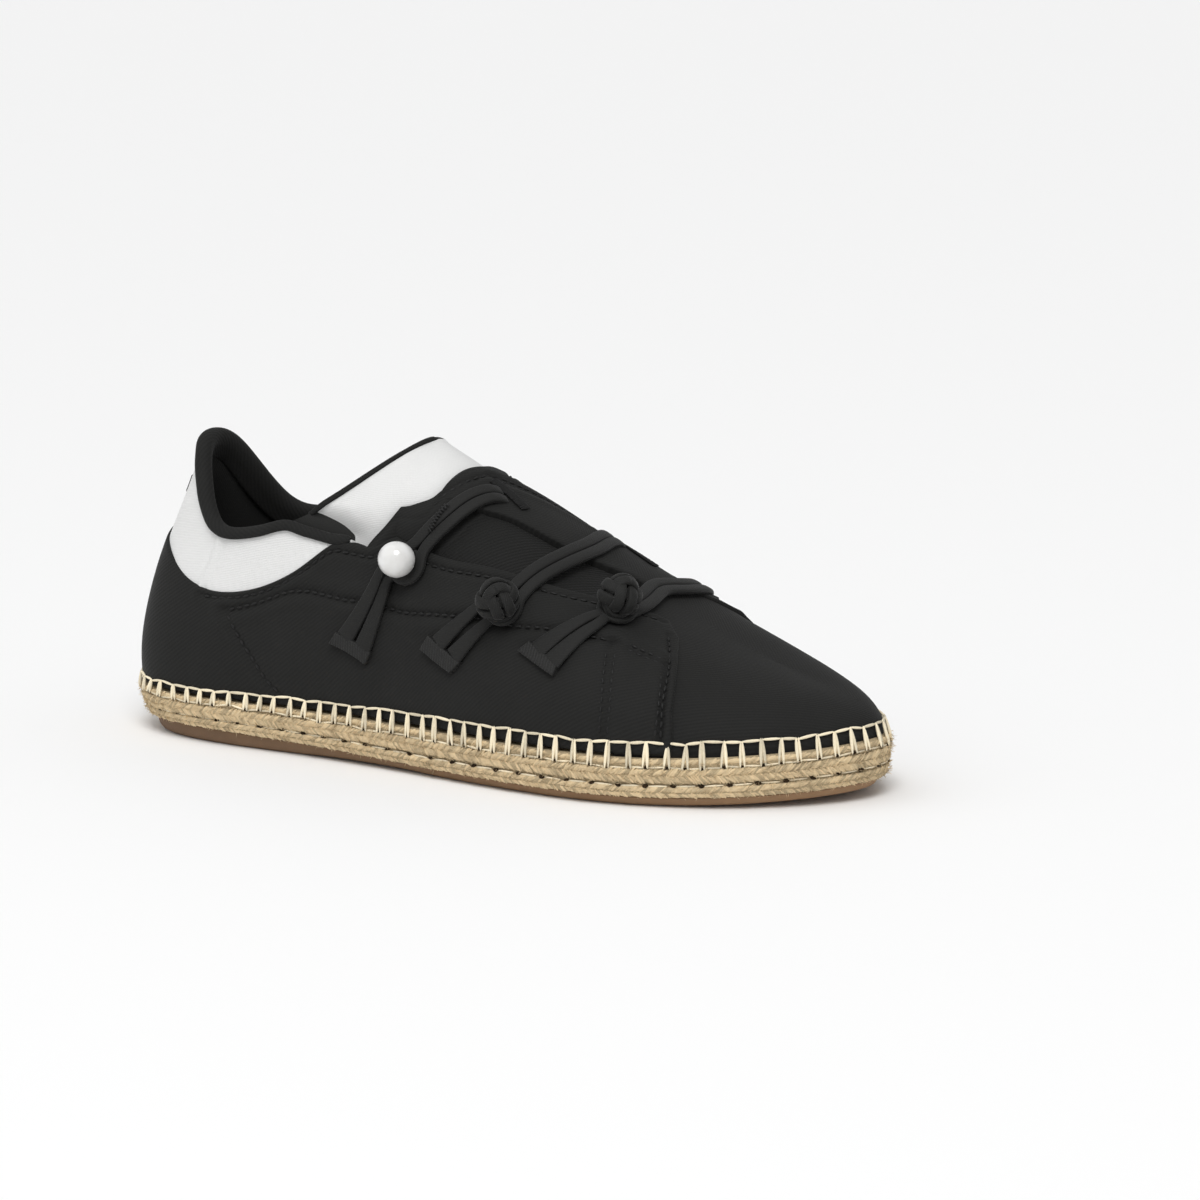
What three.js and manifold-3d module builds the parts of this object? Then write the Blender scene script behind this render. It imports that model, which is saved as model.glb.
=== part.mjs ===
// A right-foot slip-on sneaker on a braided jute sole, with three frog closures over the throat.
// Millimetres. +X points to the toe, -Y is the outer (lateral) side, +Z is up.
import * as THREE from "three";
import { mergeVertices } from "three/addons/utils/BufferGeometryUtils.js";
import Module from "manifold-3d";

const wasm = await Module();
wasm.setup();

// Driving sizes
const WALL = 2.2;
const GAP = 0.35;
const LAYER = 0.8;
const TOE_SPRING = 4;
const SPRING_START = 180;
const SPRING_RUN = 70;
const BOTTOM_SPRING = 0.7;
const ARCH_LIFT = 0.5;
const OUTSOLE_FORE = 2.7;
const OUTSOLE_HEEL = 5;
const HEEL_TUCK = 3;
const TOE_TUCK = 1.2;
const JUTE_TOP = 14.4;
const FEATHER = JUTE_TOP + GAP;
const INSOLE_THICK = 3;
const TONGUE_THICK = 1.8;
const TONGUE_DEPTH = WALL + 3 * GAP;
const TONGUE_DEEP = 5;
const SURFACE = LAYER + GAP;
const CORD_THICK = 2;
const TAB_THICK = 1.4;
const PEARL_RADIUS = 5.6;
const SEAT_RADIUS = 5;
const SEAT_THICK = 1;
const KNOT_RADIUS = 6.6;
const CLEAN = 0.01;
const PINCH_START = 6.2;
// Columns for each station and bands up the side in the upper's mesh.
const SHELL_STEPS = 3;
const SHELL_BANDS = 7;
const SOLE_STEPS = 2;

// Turns rows of numbers into rows with named columns.
function table(columns, rows) {
  const names = columns.split(" ");
  return rows.map((row) => Object.fromEntries(names.map((name, i) => [name, row[i]])));
}

// The last, a row for each station from the back of the heel (0) to the tip of the toe (15).
// outX outY and inX inY are the feather line on the outer and the inner side of the foot.
// foot and flare are the length and lean of the wall as it leaves the sole, in mm and degrees.
// top and turn are the same where it reaches the mouth or the ridge of the instep.
const STATIONS = table("outX outY inX inY foot flare top turn", [
  [0, 0.5, 0, 0.5, 27, 10, 24, 13],
  [5, -16.5, 5, 17, 27, 9, 22, 10],
  [19, -27.5, 19, 27.5, 23, 8, 18, 4],
  [40, -31, 40, 30.5, 20, 9, 18, 4],
  [61, -31.3, 61, 29.5, 21, 9, 18, 10],
  [79, -32.2, 79, 28.5, 24, 9, 17, 26],
  [93, -33.5, 92, 28.5, 26, 9, 17, 55],
  [107, -35.5, 106, 29.5, 27, 9, 20, 90],
  [125, -38.7, 125, 32.2, 28, 9, 24, 90],
  [145, -42, 146, 37, 27, 9, 26, 90],
  [166, -44, 168, 41.5, 25, 10, 28, 90],
  [187, -42.5, 190, 43.2, 22, 11, 29, 90],
  [207, -36.5, 210.5, 39.8, 19, 12, 29, 90],
  [225, -26.4, 227.5, 31.2, 16, 11, 27, 90],
  [240.5, -12, 239.8, 20.8, 13, 8, 24, 90],
  [247.2, 5.5, 247.2, 5.5, 11, 4, 22, 90],
]);
const TOE = STATIONS.length - 1;

// The edge of the foot opening, from the top of the heel to the crest of the instep.
const MOUTH = table("x half z", [
  [19.5, 0, 91.5],
  [22.5, 11, 86.5],
  [32, 21.5, 69.5],
  [46, 26, 65.8],
  [64, 26, 71],
  [80, 21.5, 80.5],
  [93, 13.5, 90.3],
  [99, 0, 95],
]);
const CREST = MOUTH.length - 1;

// The ridge line, from the crest over the instep to the toe box.
const RIDGE = table("x y z", [
  [99, 2, 95],
  [115, 2.5, 87],
  [131, 3, 78.3],
  [146, 4, 68.8],
  [160, 5, 60.5],
  [174, 6, 53.3],
  [187, 6.5, 46.8],
  [199, 7, 41.4],
  [210, 7.5, 37],
]);

// Outlines on the upper are in its own measures: t is the station, and w runs from -1 at the outer
// feather line over 0 at the ridge or the mouth to 1 at the inner one.
const FLAP_EDGE = table("t w", [
  [3.9, -0.004],
  [4.35, -0.11],
  [4.97, -0.25],
  [5.47, -0.335],
  [6.38, -0.452],
  [7.95, -0.468],
  [8.94, -0.428],
  [10.11, -0.354],
  [11, -0.27],
  [11.81, -0.199],
  [12.2, -0.14],
]);
// The front edge of the white band, where the tongue comes out from under the inner quarter.
const BAND_EDGE = table("t w", [
  [6.07, -0.42],
  [6.4, -0.408],
  [7.22, -0.376],
  [7.5, -0.346],
  [7.6, -0.298],
  [7.85, -0.216],
  [8.02, -0.125],
  [8.13, 0],
  [8.32, 0.072],
]);
const INNER_EDGE = table("t w", [
  [7.3, -0.372],
  [7.95, -0.306],
  [8.59, -0.275],
  [9.15, -0.228],
  [9.91, -0.186],
  [10.6, -0.135],
  [11.3, -0.05],
  [11.86, 0],
  [12.2, -0.08],
]);
// The top edge of the black layer, from the front of the outer quarter, round the heel to the
// front of the inner one. Here t below 0 is the inner side, and base is its station at the sole.
const LAYER_EDGE = table("t w base", [
  [12.22, -0.19, 11.74],
  [11.81, -0.2, 11.5],
  [11, -0.27, 11],
  [10.11, -0.354, 10.1],
  [8.94, -0.428, 8.9],
  [7.95, -0.468, 8],
  [6.38, -0.452, 6.4],
  [5.47, -0.34, 5.4],
  [4.97, -0.287, 4.8],
  [4.15, -0.318, 4],
  [3.35, -0.352, 3.3],
  [2.29, -0.381, 2.3],
  [1.5, -0.42, 1.5],
  [0.7, -0.43, 0.7],
  [0, -0.4, 0],
  [-0.7, -0.43, -0.7],
  [-1.5, -0.42, -1.5],
  [-2.3, -0.39, -2.3],
  [-3.5, -0.4, -3.5],
  [-4.5, -0.43, -4.5],
  [-5.5, -0.47, -5.5],
  [-6.4, -0.475, -6.5],
  [-7.2, -0.38, -7.4],
  [-7.97, -0.19, -8.4],
  [-8.17, -0.1, -8.9],
  [-7.9, 0.05, -9.1],
  [-7.35, 0.44, -9.4],
  [-8.4, 0.47, -9.8],
  [-10, 0.36, -10.2],
  [-11.86, 0, -10.6],
  [-11.5, -0.3, -10.8],
  [-11.66, -0.42, -10.95],
]);

// The mouth's edge over the tongue, from the outer collar over the crest to the inner seam.
const MOUTH_FRONT = table("t w", [
  [3.9, -0.001],
  [4.6, -0.001],
  [5.2, -0.001],
  [5.8, -0.001],
  [6.3, -0.001],
  [6.65, -0.001],
  [6.88, -0.001],
  [7, 0],
  [6.85, 0.001],
  [6.6, 0.001],
]);

// The doubled cord of each closure: its middle line and half its width.
const TOP_LOOP = table("t w half", [
  [8.8, -0.088, 4.3],
  [8.45, -0.2, 4],
  [8.12, -0.329, 3.8],
  [7.85, -0.41, 3.8],
  [7.66, -0.462, 3.8],
]);
const MIDDLE_LOOP = table("t w half", [
  [10.1, 0.26, 3.8],
  [10.3, 0.13, 3.8],
  [10.45, 0, 3.8],
  [10.36, -0.12, 3.8],
  [10.15, -0.24, 3.9],
  [9.85, -0.36, 4],
  [9.62, -0.45, 4],
]);
const FRONT_LOOP = table("t w half", [
  [11.02, 0.435, 3.8],
  [11.3, 0.36, 3.8],
  [11.65, 0.25, 3.8],
  [11.88, 0.15, 3.8],
  [11.98, 0.05, 3.8],
  [11.95, -0.07, 3.8],
  [11.75, -0.17, 3.8],
  [11.5, -0.25, 3.8],
]);
// The foot of each button, and the two corners of each end of its tails and of its tab.
const TOP_BUTTON = { t: 7.42, w: -0.53 };
const MIDDLE_BUTTON = { t: 9.36, w: -0.545 };
const FRONT_BUTTON = { t: 11.2, w: -0.33 };
const TAILS = table("name leftT leftW rightT rightW endLeftT endLeftW endRightT endRightW", [
  ["tails_top", 6.68, -0.535, 7.1, -0.603, 5.64, -0.674, 6.6, -0.762],
  ["tails_middle", 8.86, -0.555, 9.15, -0.63, 8.08, -0.694, 8.62, -0.745],
  ["tails_front", 10.68, -0.43, 11, -0.44, 9.92, -0.612, 10.33, -0.655],
]);
const TABS = table("name aT aW bT bW cT cW dT dW", [
  ["tab_top", 5.5, -0.685, 6.55, -0.775, 5.33, -0.72, 6.39, -0.81],
  ["tab_middle", 7.93, -0.705, 8.55, -0.76, 7.75, -0.75, 8.34, -0.8],
  ["tab_front", 9.8, -0.622, 10.26, -0.671, 9.6, -0.669, 10.15, -0.72],
  ["tab_inner", 10.68, 0.465, 11.14, 0.475, 10.46, 0.52, 10.97, 0.54],
]);

const radians = THREE.MathUtils.degToRad;
const lerp = THREE.MathUtils.lerp;
const smoothstep = THREE.MathUtils.smoothstep;

// A smooth curve through a closed ring of values, one unit apart.
function loopSpline(values) {
  const n = values.length;
  const bend = values.map(() => 0);
  for (let sweep = 0; sweep < 60; sweep += 1) {
    for (let i = 0; i < n; i += 1) {
      const before = (i + n - 1) % n;
      const after = (i + 1) % n;
      const pull = 6 * (values[before] - 2 * values[i] + values[after]);
      bend[i] = (pull - bend[before] - bend[after]) / 4;
    }
  }
  return (s) => {
    const whole = Math.floor(s);
    const f = s - whole;
    const g = 1 - f;
    const a = ((whole % n) + n) % n;
    const b = (a + 1) % n;
    const curve = (g ** 3 - g) * bend[a] + (f ** 3 - f) * bend[b];
    return g * values[a] + f * values[b] + curve / 6;
  };
}

// The same through an open row of values, straight at both ends.
function rowSpline(values) {
  const end = values.length - 1;
  const bend = values.map(() => 0);
  for (let sweep = 0; sweep < 60; sweep += 1) {
    for (let i = 1; i < end; i += 1) {
      const pull = 6 * (values[i - 1] - 2 * values[i] + values[i + 1]);
      bend[i] = (pull - bend[i - 1] - bend[i + 1]) / 4;
    }
  }
  return (s) => {
    const a = Math.min(Math.max(Math.floor(s), 0), end - 1);
    const f = s - a;
    const g = 1 - f;
    const curve = (g ** 3 - g) * bend[a] + (f ** 3 - f) * bend[a + 1];
    return g * values[a] + f * values[a + 1] + curve / 6;
  };
}

// Makes a closed ring from a column down the outer side and one back along the inner side.
function ring(rows, outer, inner) {
  const back = rows.slice(1, -1).reverse();
  return loopSpline([...rows.map(outer), ...back.map(inner)]);
}

const same = (column) => (row) => row[column];
const negative = (column) => (row) => -row[column];
const footX = ring(STATIONS, same("outX"), same("inX"));
const footY = ring(STATIONS, same("outY"), same("inY"));
const footHandle = ring(STATIONS, same("foot"), same("foot"));
const footFlare = ring(STATIONS, same("flare"), same("flare"));
const topHandle = ring(STATIONS, same("top"), same("top"));
const topTurn = ring(STATIONS, same("turn"), same("turn"));
const mouthX = ring(MOUTH, same("x"), same("x"));
const mouthY = ring(MOUTH, negative("half"), same("half"));
const mouthZ = ring(MOUTH, same("z"), same("z"));
const ridgeX = rowSpline(RIDGE.map(same("x")));
const ridgeY = rowSpline(RIDGE.map(same("y")));
const ridgeZ = rowSpline(RIDGE.map(same("z")));

function toeLift(x) {
  const run = Math.max(0, (x - SPRING_START) / SPRING_RUN);
  return TOE_SPRING * run * run;
}

// s runs once round the foot, from the heel along the outer side to the toe and back inside.
function footNormal(s) {
  const step = 0.001;
  const dx = footX(s + step) - footX(s - step);
  const dy = footY(s + step) - footY(s - step);
  const length = Math.hypot(dx, dy);
  return { x: dy / length, y: -dx / length };
}

function stationOf(s) {
  const wrapped = ((s % (2 * TOE)) + 2 * TOE) % (2 * TOE);
  return Math.min(wrapped, 2 * TOE - wrapped);
}

function isOuter(s) {
  return (((s % (2 * TOE)) + 2 * TOE) % (2 * TOE)) <= TOE;
}

function topPoint(s) {
  const t = stationOf(s);
  if (t > CREST) {
    const r = t - CREST;
    return new THREE.Vector3(ridgeX(r), ridgeY(r), ridgeZ(r));
  }
  const m = isOuter(s) ? t : 2 * CREST - t;
  const drift = (RIDGE[0].y * t) / CREST;
  return new THREE.Vector3(mouthX(m), mouthY(m) + drift, mouthZ(m));
}

function ridgeSlope(t) {
  const last = RIDGE.length - 1;
  const r = Math.min(Math.max(t - CREST, 0.02), last - 0.01);
  const step = 0.001;
  return (ridgeZ(r + step) - ridgeZ(r - step)) / (ridgeX(r + step) - ridgeX(r - step));
}

// A point of the last's skin: v is 0 at the feather line and 1 at the mouth or ridge.
function skin(s, v) {
  const t = stationOf(s);
  const out = footNormal(s);
  const flare = radians(footFlare(s));
  const turn = t >= CREST ? Math.PI / 2 : radians(topTurn(s));
  const foot = new THREE.Vector3(footX(s), footY(s), FEATHER + toeLift(footX(s)));
  const top = topPoint(s);
  const low = new THREE.Vector3(out.x * Math.sin(flare), out.y * Math.sin(flare), Math.cos(flare));
  const lean = Math.sin(turn);
  const fall = lean * ridgeSlope(t) * out.x - Math.cos(turn);
  const high = new THREE.Vector3(lean * out.x, lean * out.y, fall);
  low.multiplyScalar(footHandle(s)).add(foot);
  high.multiplyScalar(topHandle(s)).add(top);
  return new THREE.CubicBezierCurve3(foot, low, high, top).getPoint(v);
}

function sideNormal(s, v) {
  const step = 0.002;
  const along = skin(s + step, v).sub(skin(s - step, v));
  const up = skin(s, Math.min(v + step, 1)).sub(skin(s, v - step));
  return along.cross(up).normalize();
}

// Beside the crest the mouth runs along the skin's own columns, so the normal there is carried
// over from the station before the pinch to the one just past it.
function skinNormal(s, v) {
  const t = stationOf(s);
  const at = (station) => (isOuter(s) ? station : 2 * TOE - station);
  const past = Math.max(t, CREST + 0.02);
  const normal = sideNormal(at(past), v);
  if (v >= 1) normal.add(sideNormal(2 * TOE - at(past), v)).normalize();
  if (t >= CREST) return normal;
  const share = Math.max((t - PINCH_START) / (CREST - PINCH_START), 0);
  return sideNormal(at(Math.min(t, PINCH_START)), v).lerp(normal, share).normalize();
}

function raised(s, v, height) {
  return skin(s, v).addScaledVector(skinNormal(s, v), height);
}

// The same point in the measures of the outlines.
function place(t, w, height) {
  const s = w <= 0 ? t : 2 * TOE - t;
  return raised(s, 1 - Math.abs(w), height);
}

function meshFrom(points, faces) {
  const geometry = new THREE.BufferGeometry();
  const flat = points.flatMap((p) => [p.x, p.y, p.z]);
  geometry.setAttribute("position", new THREE.Float32BufferAttribute(flat, 3));
  geometry.setIndex(faces.flat());
  return mergeVertices(geometry, 1e-4);
}

function signedVolume(geometry) {
  const index = geometry.index;
  const position = geometry.attributes.position;
  const corner = [new THREE.Vector3(), new THREE.Vector3(), new THREE.Vector3()];
  let volume = 0;
  for (let i = 0; i < index.count; i += 3) {
    corner.forEach((p, k) => p.fromBufferAttribute(position, index.getX(i + k)));
    volume += corner[0].dot(corner[1].clone().cross(corner[2])) / 6;
  }
  return volume;
}

// Turns a closed geometry into a solid for joining and cutting, with its faces pointing out.
function solidOf(geometry) {
  const clean = geometry.clone();
  clean.deleteAttribute("normal");
  clean.deleteAttribute("uv");
  const merged = mergeVertices(clean, 1e-4);
  const outward = signedVolume(merged) > 0;
  const triVerts = new Uint32Array(merged.index.count);
  for (let i = 0; i < triVerts.length; i += 3) {
    triVerts[i] = merged.index.getX(i);
    triVerts[i + 1] = merged.index.getX(i + (outward ? 1 : 2));
    triVerts[i + 2] = merged.index.getX(i + (outward ? 2 : 1));
  }
  const vertProperties = new Float32Array(merged.attributes.position.array);
  return new wasm.Manifold(new wasm.Mesh({ numProp: 3, vertProperties, triVerts }));
}

function geometryOf(solid) {
  const mesh = solid.getMesh();
  const geometry = new THREE.BufferGeometry();
  geometry.setAttribute("position", new THREE.Float32BufferAttribute(mesh.vertProperties, 3));
  geometry.setIndex(Array.from(mesh.triVerts));
  return geometry;
}

// Two sheets of points over one grid, closed all round into a plate.
function plate(top, bottom) {
  const rows = top.length;
  const columns = top[0].length;
  const points = [...top.flat(), ...bottom.flat()];
  const upper = (i, j) => i * columns + j;
  const lower = (i, j) => rows * columns + i * columns + j;
  const faces = [];
  const quad = (a, b, c, d) => faces.push([a, b, c], [a, c, d]);
  for (let i = 0; i + 1 < rows; i += 1) {
    for (let j = 0; j + 1 < columns; j += 1) {
      quad(upper(i, j), upper(i + 1, j), upper(i + 1, j + 1), upper(i, j + 1));
      quad(lower(i, j), lower(i, j + 1), lower(i + 1, j + 1), lower(i + 1, j));
    }
    const end = columns - 1;
    quad(upper(i, 0), lower(i, 0), lower(i + 1, 0), upper(i + 1, 0));
    quad(upper(i, end), upper(i + 1, end), lower(i + 1, end), lower(i, end));
  }
  for (let j = 0; j + 1 < columns; j += 1) {
    const end = rows - 1;
    quad(upper(0, j), upper(0, j + 1), lower(0, j + 1), lower(0, j));
    quad(upper(end, j), lower(end, j), lower(end, j + 1), upper(end, j + 1));
  }
  return meshFrom(points, faces);
}

function spline(rows) {
  const curve = new THREE.SplineCurve(rows.map((row) => new THREE.Vector2(row.t, row.w)));
  return (p) => curve.getPoint(p);
}

// A plate on the skin between two outlines. heights gives its top and bottom above the skin,
// and rise carries its second edge on past the mouth.
function patch(edgeA, edgeB, along, across, heights, rise = 0) {
  const a = spline(edgeA);
  const b = spline(edgeB);
  const top = [];
  const bottom = [];
  for (let i = 0; i <= along; i += 1) {
    const p = i / along;
    const from = a(p);
    const to = b(p);
    const high = [];
    const low = [];
    for (let j = 0; j <= across; j += 1) {
      const q = j / across;
      const at = from.clone().lerp(to, q);
      const [over, under] = heights(at.x, at.y, p, q);
      high.push(place(at.x, at.y, over));
      low.push(place(at.x, at.y, under));
    }
    if (rise > 0) {
      [high, low].forEach((line) => {
        const step = line[across].clone().sub(line[across - 1]).setLength(rise);
        line.push(line[across].clone().add(step));
      });
    }
    top.push(high);
    bottom.push(low);
  }
  return plate(top, bottom);
}

// A solid with the outline of the foot: each level has an offset from the feather line and a
// height, both worked out along the length, and the ends are closed to the middle of the foot.
function footSolid(levels) {
  const count = SOLE_STEPS * 2 * TOE;
  const rings = levels.map((level) => {
    const line = [];
    for (let i = 0; i < count; i += 1) {
      const s = i / SOLE_STEPS;
      const out = footNormal(s);
      const x = footX(s);
      const { offset, z } = level(x);
      line.push(new THREE.Vector3(x + out.x * offset, footY(s) + out.y * offset, z));
    }
    return line;
  });
  const middle = (line) => line.map((p, i) => {
    const other = line[(count - i) % count];
    return p.clone().add(other).multiplyScalar(0.5);
  });
  const all = [middle(rings[0]), ...rings, middle(rings[rings.length - 1])];
  const faces = [];
  for (let k = 0; k + 1 < all.length; k += 1) {
    for (let i = 0; i < count; i += 1) {
      const next = (i + 1) % count;
      const a = k * count + i;
      const b = k * count + next;
      faces.push([a, b, b + count], [a, b + count, a + count]);
    }
  }
  const merged = meshFrom(all.flat(), faces);
  return dropSlivers(merged);
}

// Leaves out the faces whose corners fell together.
function dropSlivers(geometry) {
  const index = Array.from(geometry.index.array);
  const kept = [];
  for (let i = 0; i < index.length; i += 3) {
    const [a, b, c] = index.slice(i, i + 3);
    if (a !== b && b !== c && c !== a) kept.push(a, b, c);
  }
  geometry.setIndex(kept);
  return geometry;
}

// The bare shell of the upper: its outer skin, its lining a wall further in, the rim between
// them round the mouth, and the edge that stands on the sole.
function shell(steps, bands) {
  const count = steps * 2 * TOE;
  const section = 2 * bands + 2;
  const points = [];
  for (let i = 0; i < count; i += 1) {
    for (let k = 0; k < section; k += 1) {
      const v = k <= bands ? k / bands : (section - 1 - k) / bands;
      points.push(raised(i / steps, v, k <= bands ? 0 : -WALL));
    }
  }
  const faces = [];
  for (let i = 0; i < count; i += 1) {
    const next = (i + 1) % count;
    const open = stationOf((i + 0.5) / steps) < CREST;
    for (let k = 0; k < section; k += 1) {
      if (k === bands && !open) continue;
      const up = (k + 1) % section;
      const a = i * section + k;
      const b = next * section + k;
      const c = next * section + up;
      const d = i * section + up;
      faces.push([a, b, c], [a, c, d]);
    }
  }
  return dropSlivers(meshFrom(points, faces));
}

const through = () => [4, -WALL - 2];
const onTop = () => [LAYER, -WALL / 2];

// The opening over the tongue: the white band's part and the lens between the two quarters.
function bandOpening() {
  const low = [
    ...FLAP_EDGE.slice(0, 5),
    { t: 7.1, w: -0.44 },
    ...BAND_EDGE.slice(3),
  ];
  return patch(low, MOUTH_FRONT, 30, 5, through, 8);
}

function lensOpening() {
  return patch(FLAP_EDGE.slice(4), INNER_EDGE, 22, 2, through);
}

// The black quarters and heel counter lie on the white collar and on the toe as a second layer.
function layer() {
  const base = LAYER_EDGE.map((row) => ({ t: row.base, w: -0.985 }));
  return patch(LAYER_EDGE, base, 2 * (LAYER_EDGE.length - 1), 5, onTop);
}

// Cutting leaves crumbs where two faces almost agree: only the largest body is the piece.
function largest(solid) {
  const bodies = solidOf(geometryOf(solid.simplify(CLEAN))).decompose();
  return bodies.reduce((best, body) => (body.volume() > best.volume() ? body : best));
}

function upper() {
  const solid = solidOf(shell(SHELL_STEPS, SHELL_BANDS))
    .add(solidOf(layer()))
    .subtract(solidOf(bandOpening()))
    .subtract(solidOf(lensOpening()));
  return geometryOf(largest(solid));
}

// Looks up the station of an outline for a given w, from rows with w growing.
function stationAt(rows, w) {
  const i = Math.max(rows.findIndex((row) => row.w > w), 1);
  const [a, b] = w >= rows[rows.length - 1].w ? rows.slice(-2) : [rows[i - 1], rows[i]];
  const share = THREE.MathUtils.clamp((w - a.w) / (b.w - a.w), 0, 1);
  return lerp(a.t, b.t, share);
}

// The tongue lies under the quarters and comes up level with them in the white band.
function tongueHeights(thick) {
  const flap = FLAP_EDGE.slice(0, 5).reverse();
  return (t, w) => {
    const deep = lerp(TONGUE_DEEP, TONGUE_DEPTH, smoothstep(t, 5.9, 6.7));
    const front = smoothstep(stationAt(BAND_EDGE, w) - t, 0.3, 0.9);
    const back = smoothstep(t - stationAt(flap, w), 0.3, 1);
    const over = -lerp(deep, 0.3, front * back);
    return [over, over - thick];
  };
}

function tongue() {
  const mouth = [{ t: 4.3, w: -0.001 }, ...MOUTH_FRONT.slice(1, 7), { t: 6.97, w: -0.001 }];
  const low = table("t w", [
    [5.3, -0.6],
    [5.9, -0.62],
    [6.6, -0.6],
    [7.3, -0.56],
    [8, -0.45],
    [8.3, -0.3],
    [8.5, -0.15],
    [8.6, 0],
    [8.65, 0.03],
  ]);
  const outerSide = table("t w", [[6.9, -0.6], [8, -0.6], [10, -0.48], [12, -0.32], [12.6, -0.25]]);
  const innerSide = table("t w", [[7.8, -0.2], [9, -0.05], [10.5, 0.05], [11.8, 0.15], [12.6, 0.05]]);
  const flat = () => [-TONGUE_DEPTH - 0.3, -TONGUE_DEPTH - TONGUE_THICK + 0.3];
  const band = solidOf(patch(low, mouth, 24, 9, tongueHeights(TONGUE_THICK)));
  const gusset = solidOf(patch(outerSide, innerSide, 18, 6, flat));
  return geometryOf(largest(band.add(gusset)));
}

// The padded edge of the collar, folded over the rim from the corner of the outer quarter,
// round the heel, to the seam beside the crest.
function collarBinding() {
  const corner = spline(FLAP_EDGE.slice(0, 4).reverse());
  const edge = [];
  for (let i = 0; i <= 8; i += 1) edge.push(corner(i / 8));
  for (let i = 11; i >= -16; i -= 1) edge.push(new THREE.Vector2(i / SHELL_STEPS, -0.001));
  const clear = 2 * GAP;
  const inside = -WALL - clear;
  const section = table("down out over", [
    [2, clear, 1],
    [2.2, 1.1, 1],
    [1.4, 1.6, 1],
    [0.2, 1.6, 1],
    [-1, 0.8, 0],
    [-1.4, -WALL / 2, 0],
    [-0.9, inside - 0.8, 0],
    [1, inside - 1.3, 0],
    [4, inside - 1.1, 0],
    [5, inside, 0],
    [-GAP, inside, 0],
    [-GAP, clear, 1],
  ]);
  const steps = edge.length - 1;
  const rings = edge.map((at, i) => {
    const before = edge[Math.max(i - 1, 0)];
    const after = edge[Math.min(i + 1, steps)];
    const centre = place(at.x, at.y, 0);
    const out = skinNormal(at.x, 1 - Math.abs(at.y));
    const along = place(after.x, after.y, 0).sub(place(before.x, before.y, 0)).normalize();
    const down = along.clone().cross(out).normalize();
    const body = place(at.x, at.y - 0.05, 0).sub(centre);
    if (body.dot(down) < 0) down.negate();
    const lift = at.x > 3.9 ? LAYER * smoothstep(at.x, 4.3, 4.8) : 0;
    return section.map((corner) => {
      const level = corner.out + corner.over * lift;
      return centre.clone().addScaledVector(down, corner.down).addScaledVector(out, level);
    });
  });
  return tubeOf(rings);
}

// Closes a row of equal rings into one solid, with a flat fan at each end.
function tubeOf(rings) {
  const size = rings[0].length;
  const points = rings.flat();
  const faces = [];
  for (let i = 0; i + 1 < rings.length; i += 1) {
    for (let k = 0; k < size; k += 1) {
      const next = (k + 1) % size;
      const a = i * size + k;
      const b = i * size + next;
      faces.push([a, b, b + size], [a, b + size, a + size]);
    }
  }
  const frame = sectionFrame(rings[0]);
  const flat = rings[0].map((p) => new THREE.Vector2(p.dot(frame.across), p.dot(frame.up)));
  const cap = THREE.ShapeUtils.triangulateShape(flat, []);
  const last = (rings.length - 1) * size;
  cap.forEach(([a, b, c]) => {
    faces.push([a, c, b]);
    faces.push([last + a, last + b, last + c]);
  });
  return meshFrom(points, faces);
}

// Two directions that span the plane of a section, found from its corners.
function sectionFrame(corners) {
  const across = corners[1].clone().sub(corners[0]);
  const normal = new THREE.Vector3();
  corners.forEach((p, k) => {
    const q = corners[(k + 1) % corners.length];
    normal.add(p.clone().sub(corners[0]).cross(q.clone().sub(corners[0])));
  });
  normal.normalize();
  across.addScaledVector(normal, -across.dot(normal)).normalize();
  return { across, up: normal.clone().cross(across) };
}

// A doubled cord laid along the upper: two rounded ribs with a groove between them.
function loop(rows, steps) {
  const line = spline(rows);
  const halves = new THREE.SplineCurve(rows.map((row, i) => new THREE.Vector2(i, row.half)));
  const ribs = table("side height", [
    [-1, 0],
    [-0.96, 0.55],
    [-0.75, 0.92],
    [-0.5, 1],
    [-0.25, 0.92],
    [0, 0.5],
    [0.25, 0.92],
    [0.5, 1],
    [0.75, 0.92],
    [0.96, 0.55],
    [1, 0],
  ]);
  const rings = [];
  for (let i = 0; i <= steps; i += 1) {
    const p = i / steps;
    const at = line(p);
    const ahead = line(Math.min(p + 0.01, 1));
    const behind = line(Math.max(p - 0.01, 0));
    const half = halves.getPoint(p).y;
    const out = normalAt(at.x, at.y);
    const along = place(ahead.x, ahead.y, 0).sub(place(behind.x, behind.y, 0)).normalize();
    const across = out.clone().cross(along).normalize();
    const centre = place(at.x, at.y, SURFACE);
    rings.push(ribs.map((rib) => centre.clone()
      .addScaledVector(across, rib.side * half)
      .addScaledVector(out, rib.height * CORD_THICK)));
  }
  return tubeOf(rings);
}

function normalAt(t, w) {
  return skinNormal(w <= 0 ? t : 2 * TOE - t, 1 - Math.abs(w));
}

// The two ends of a cord, spread from the button to the tab.
function tails(row) {
  const left = [{ t: row.leftT, w: row.leftW }, { t: row.endLeftT, w: row.endLeftW }];
  const right = [{ t: row.rightT, w: row.rightW }, { t: row.endRightT, w: row.endRightW }];
  const heights = (t, w, p, q) => {
    const rib = Math.abs(Math.sin(2 * Math.PI * q));
    return [SURFACE + CORD_THICK * (0.4 + 0.5 * rib), SURFACE];
  };
  return patch(left, right, 4, 8, heights);
}

function tab(row) {
  const top = [{ t: row.aT, w: row.aW }, { t: row.bT, w: row.bW }];
  const low = [{ t: row.cT, w: row.cW }, { t: row.dT, w: row.dW }];
  return patch(top, low, 4, 2, () => [SURFACE + TAB_THICK, SURFACE]);
}

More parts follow.
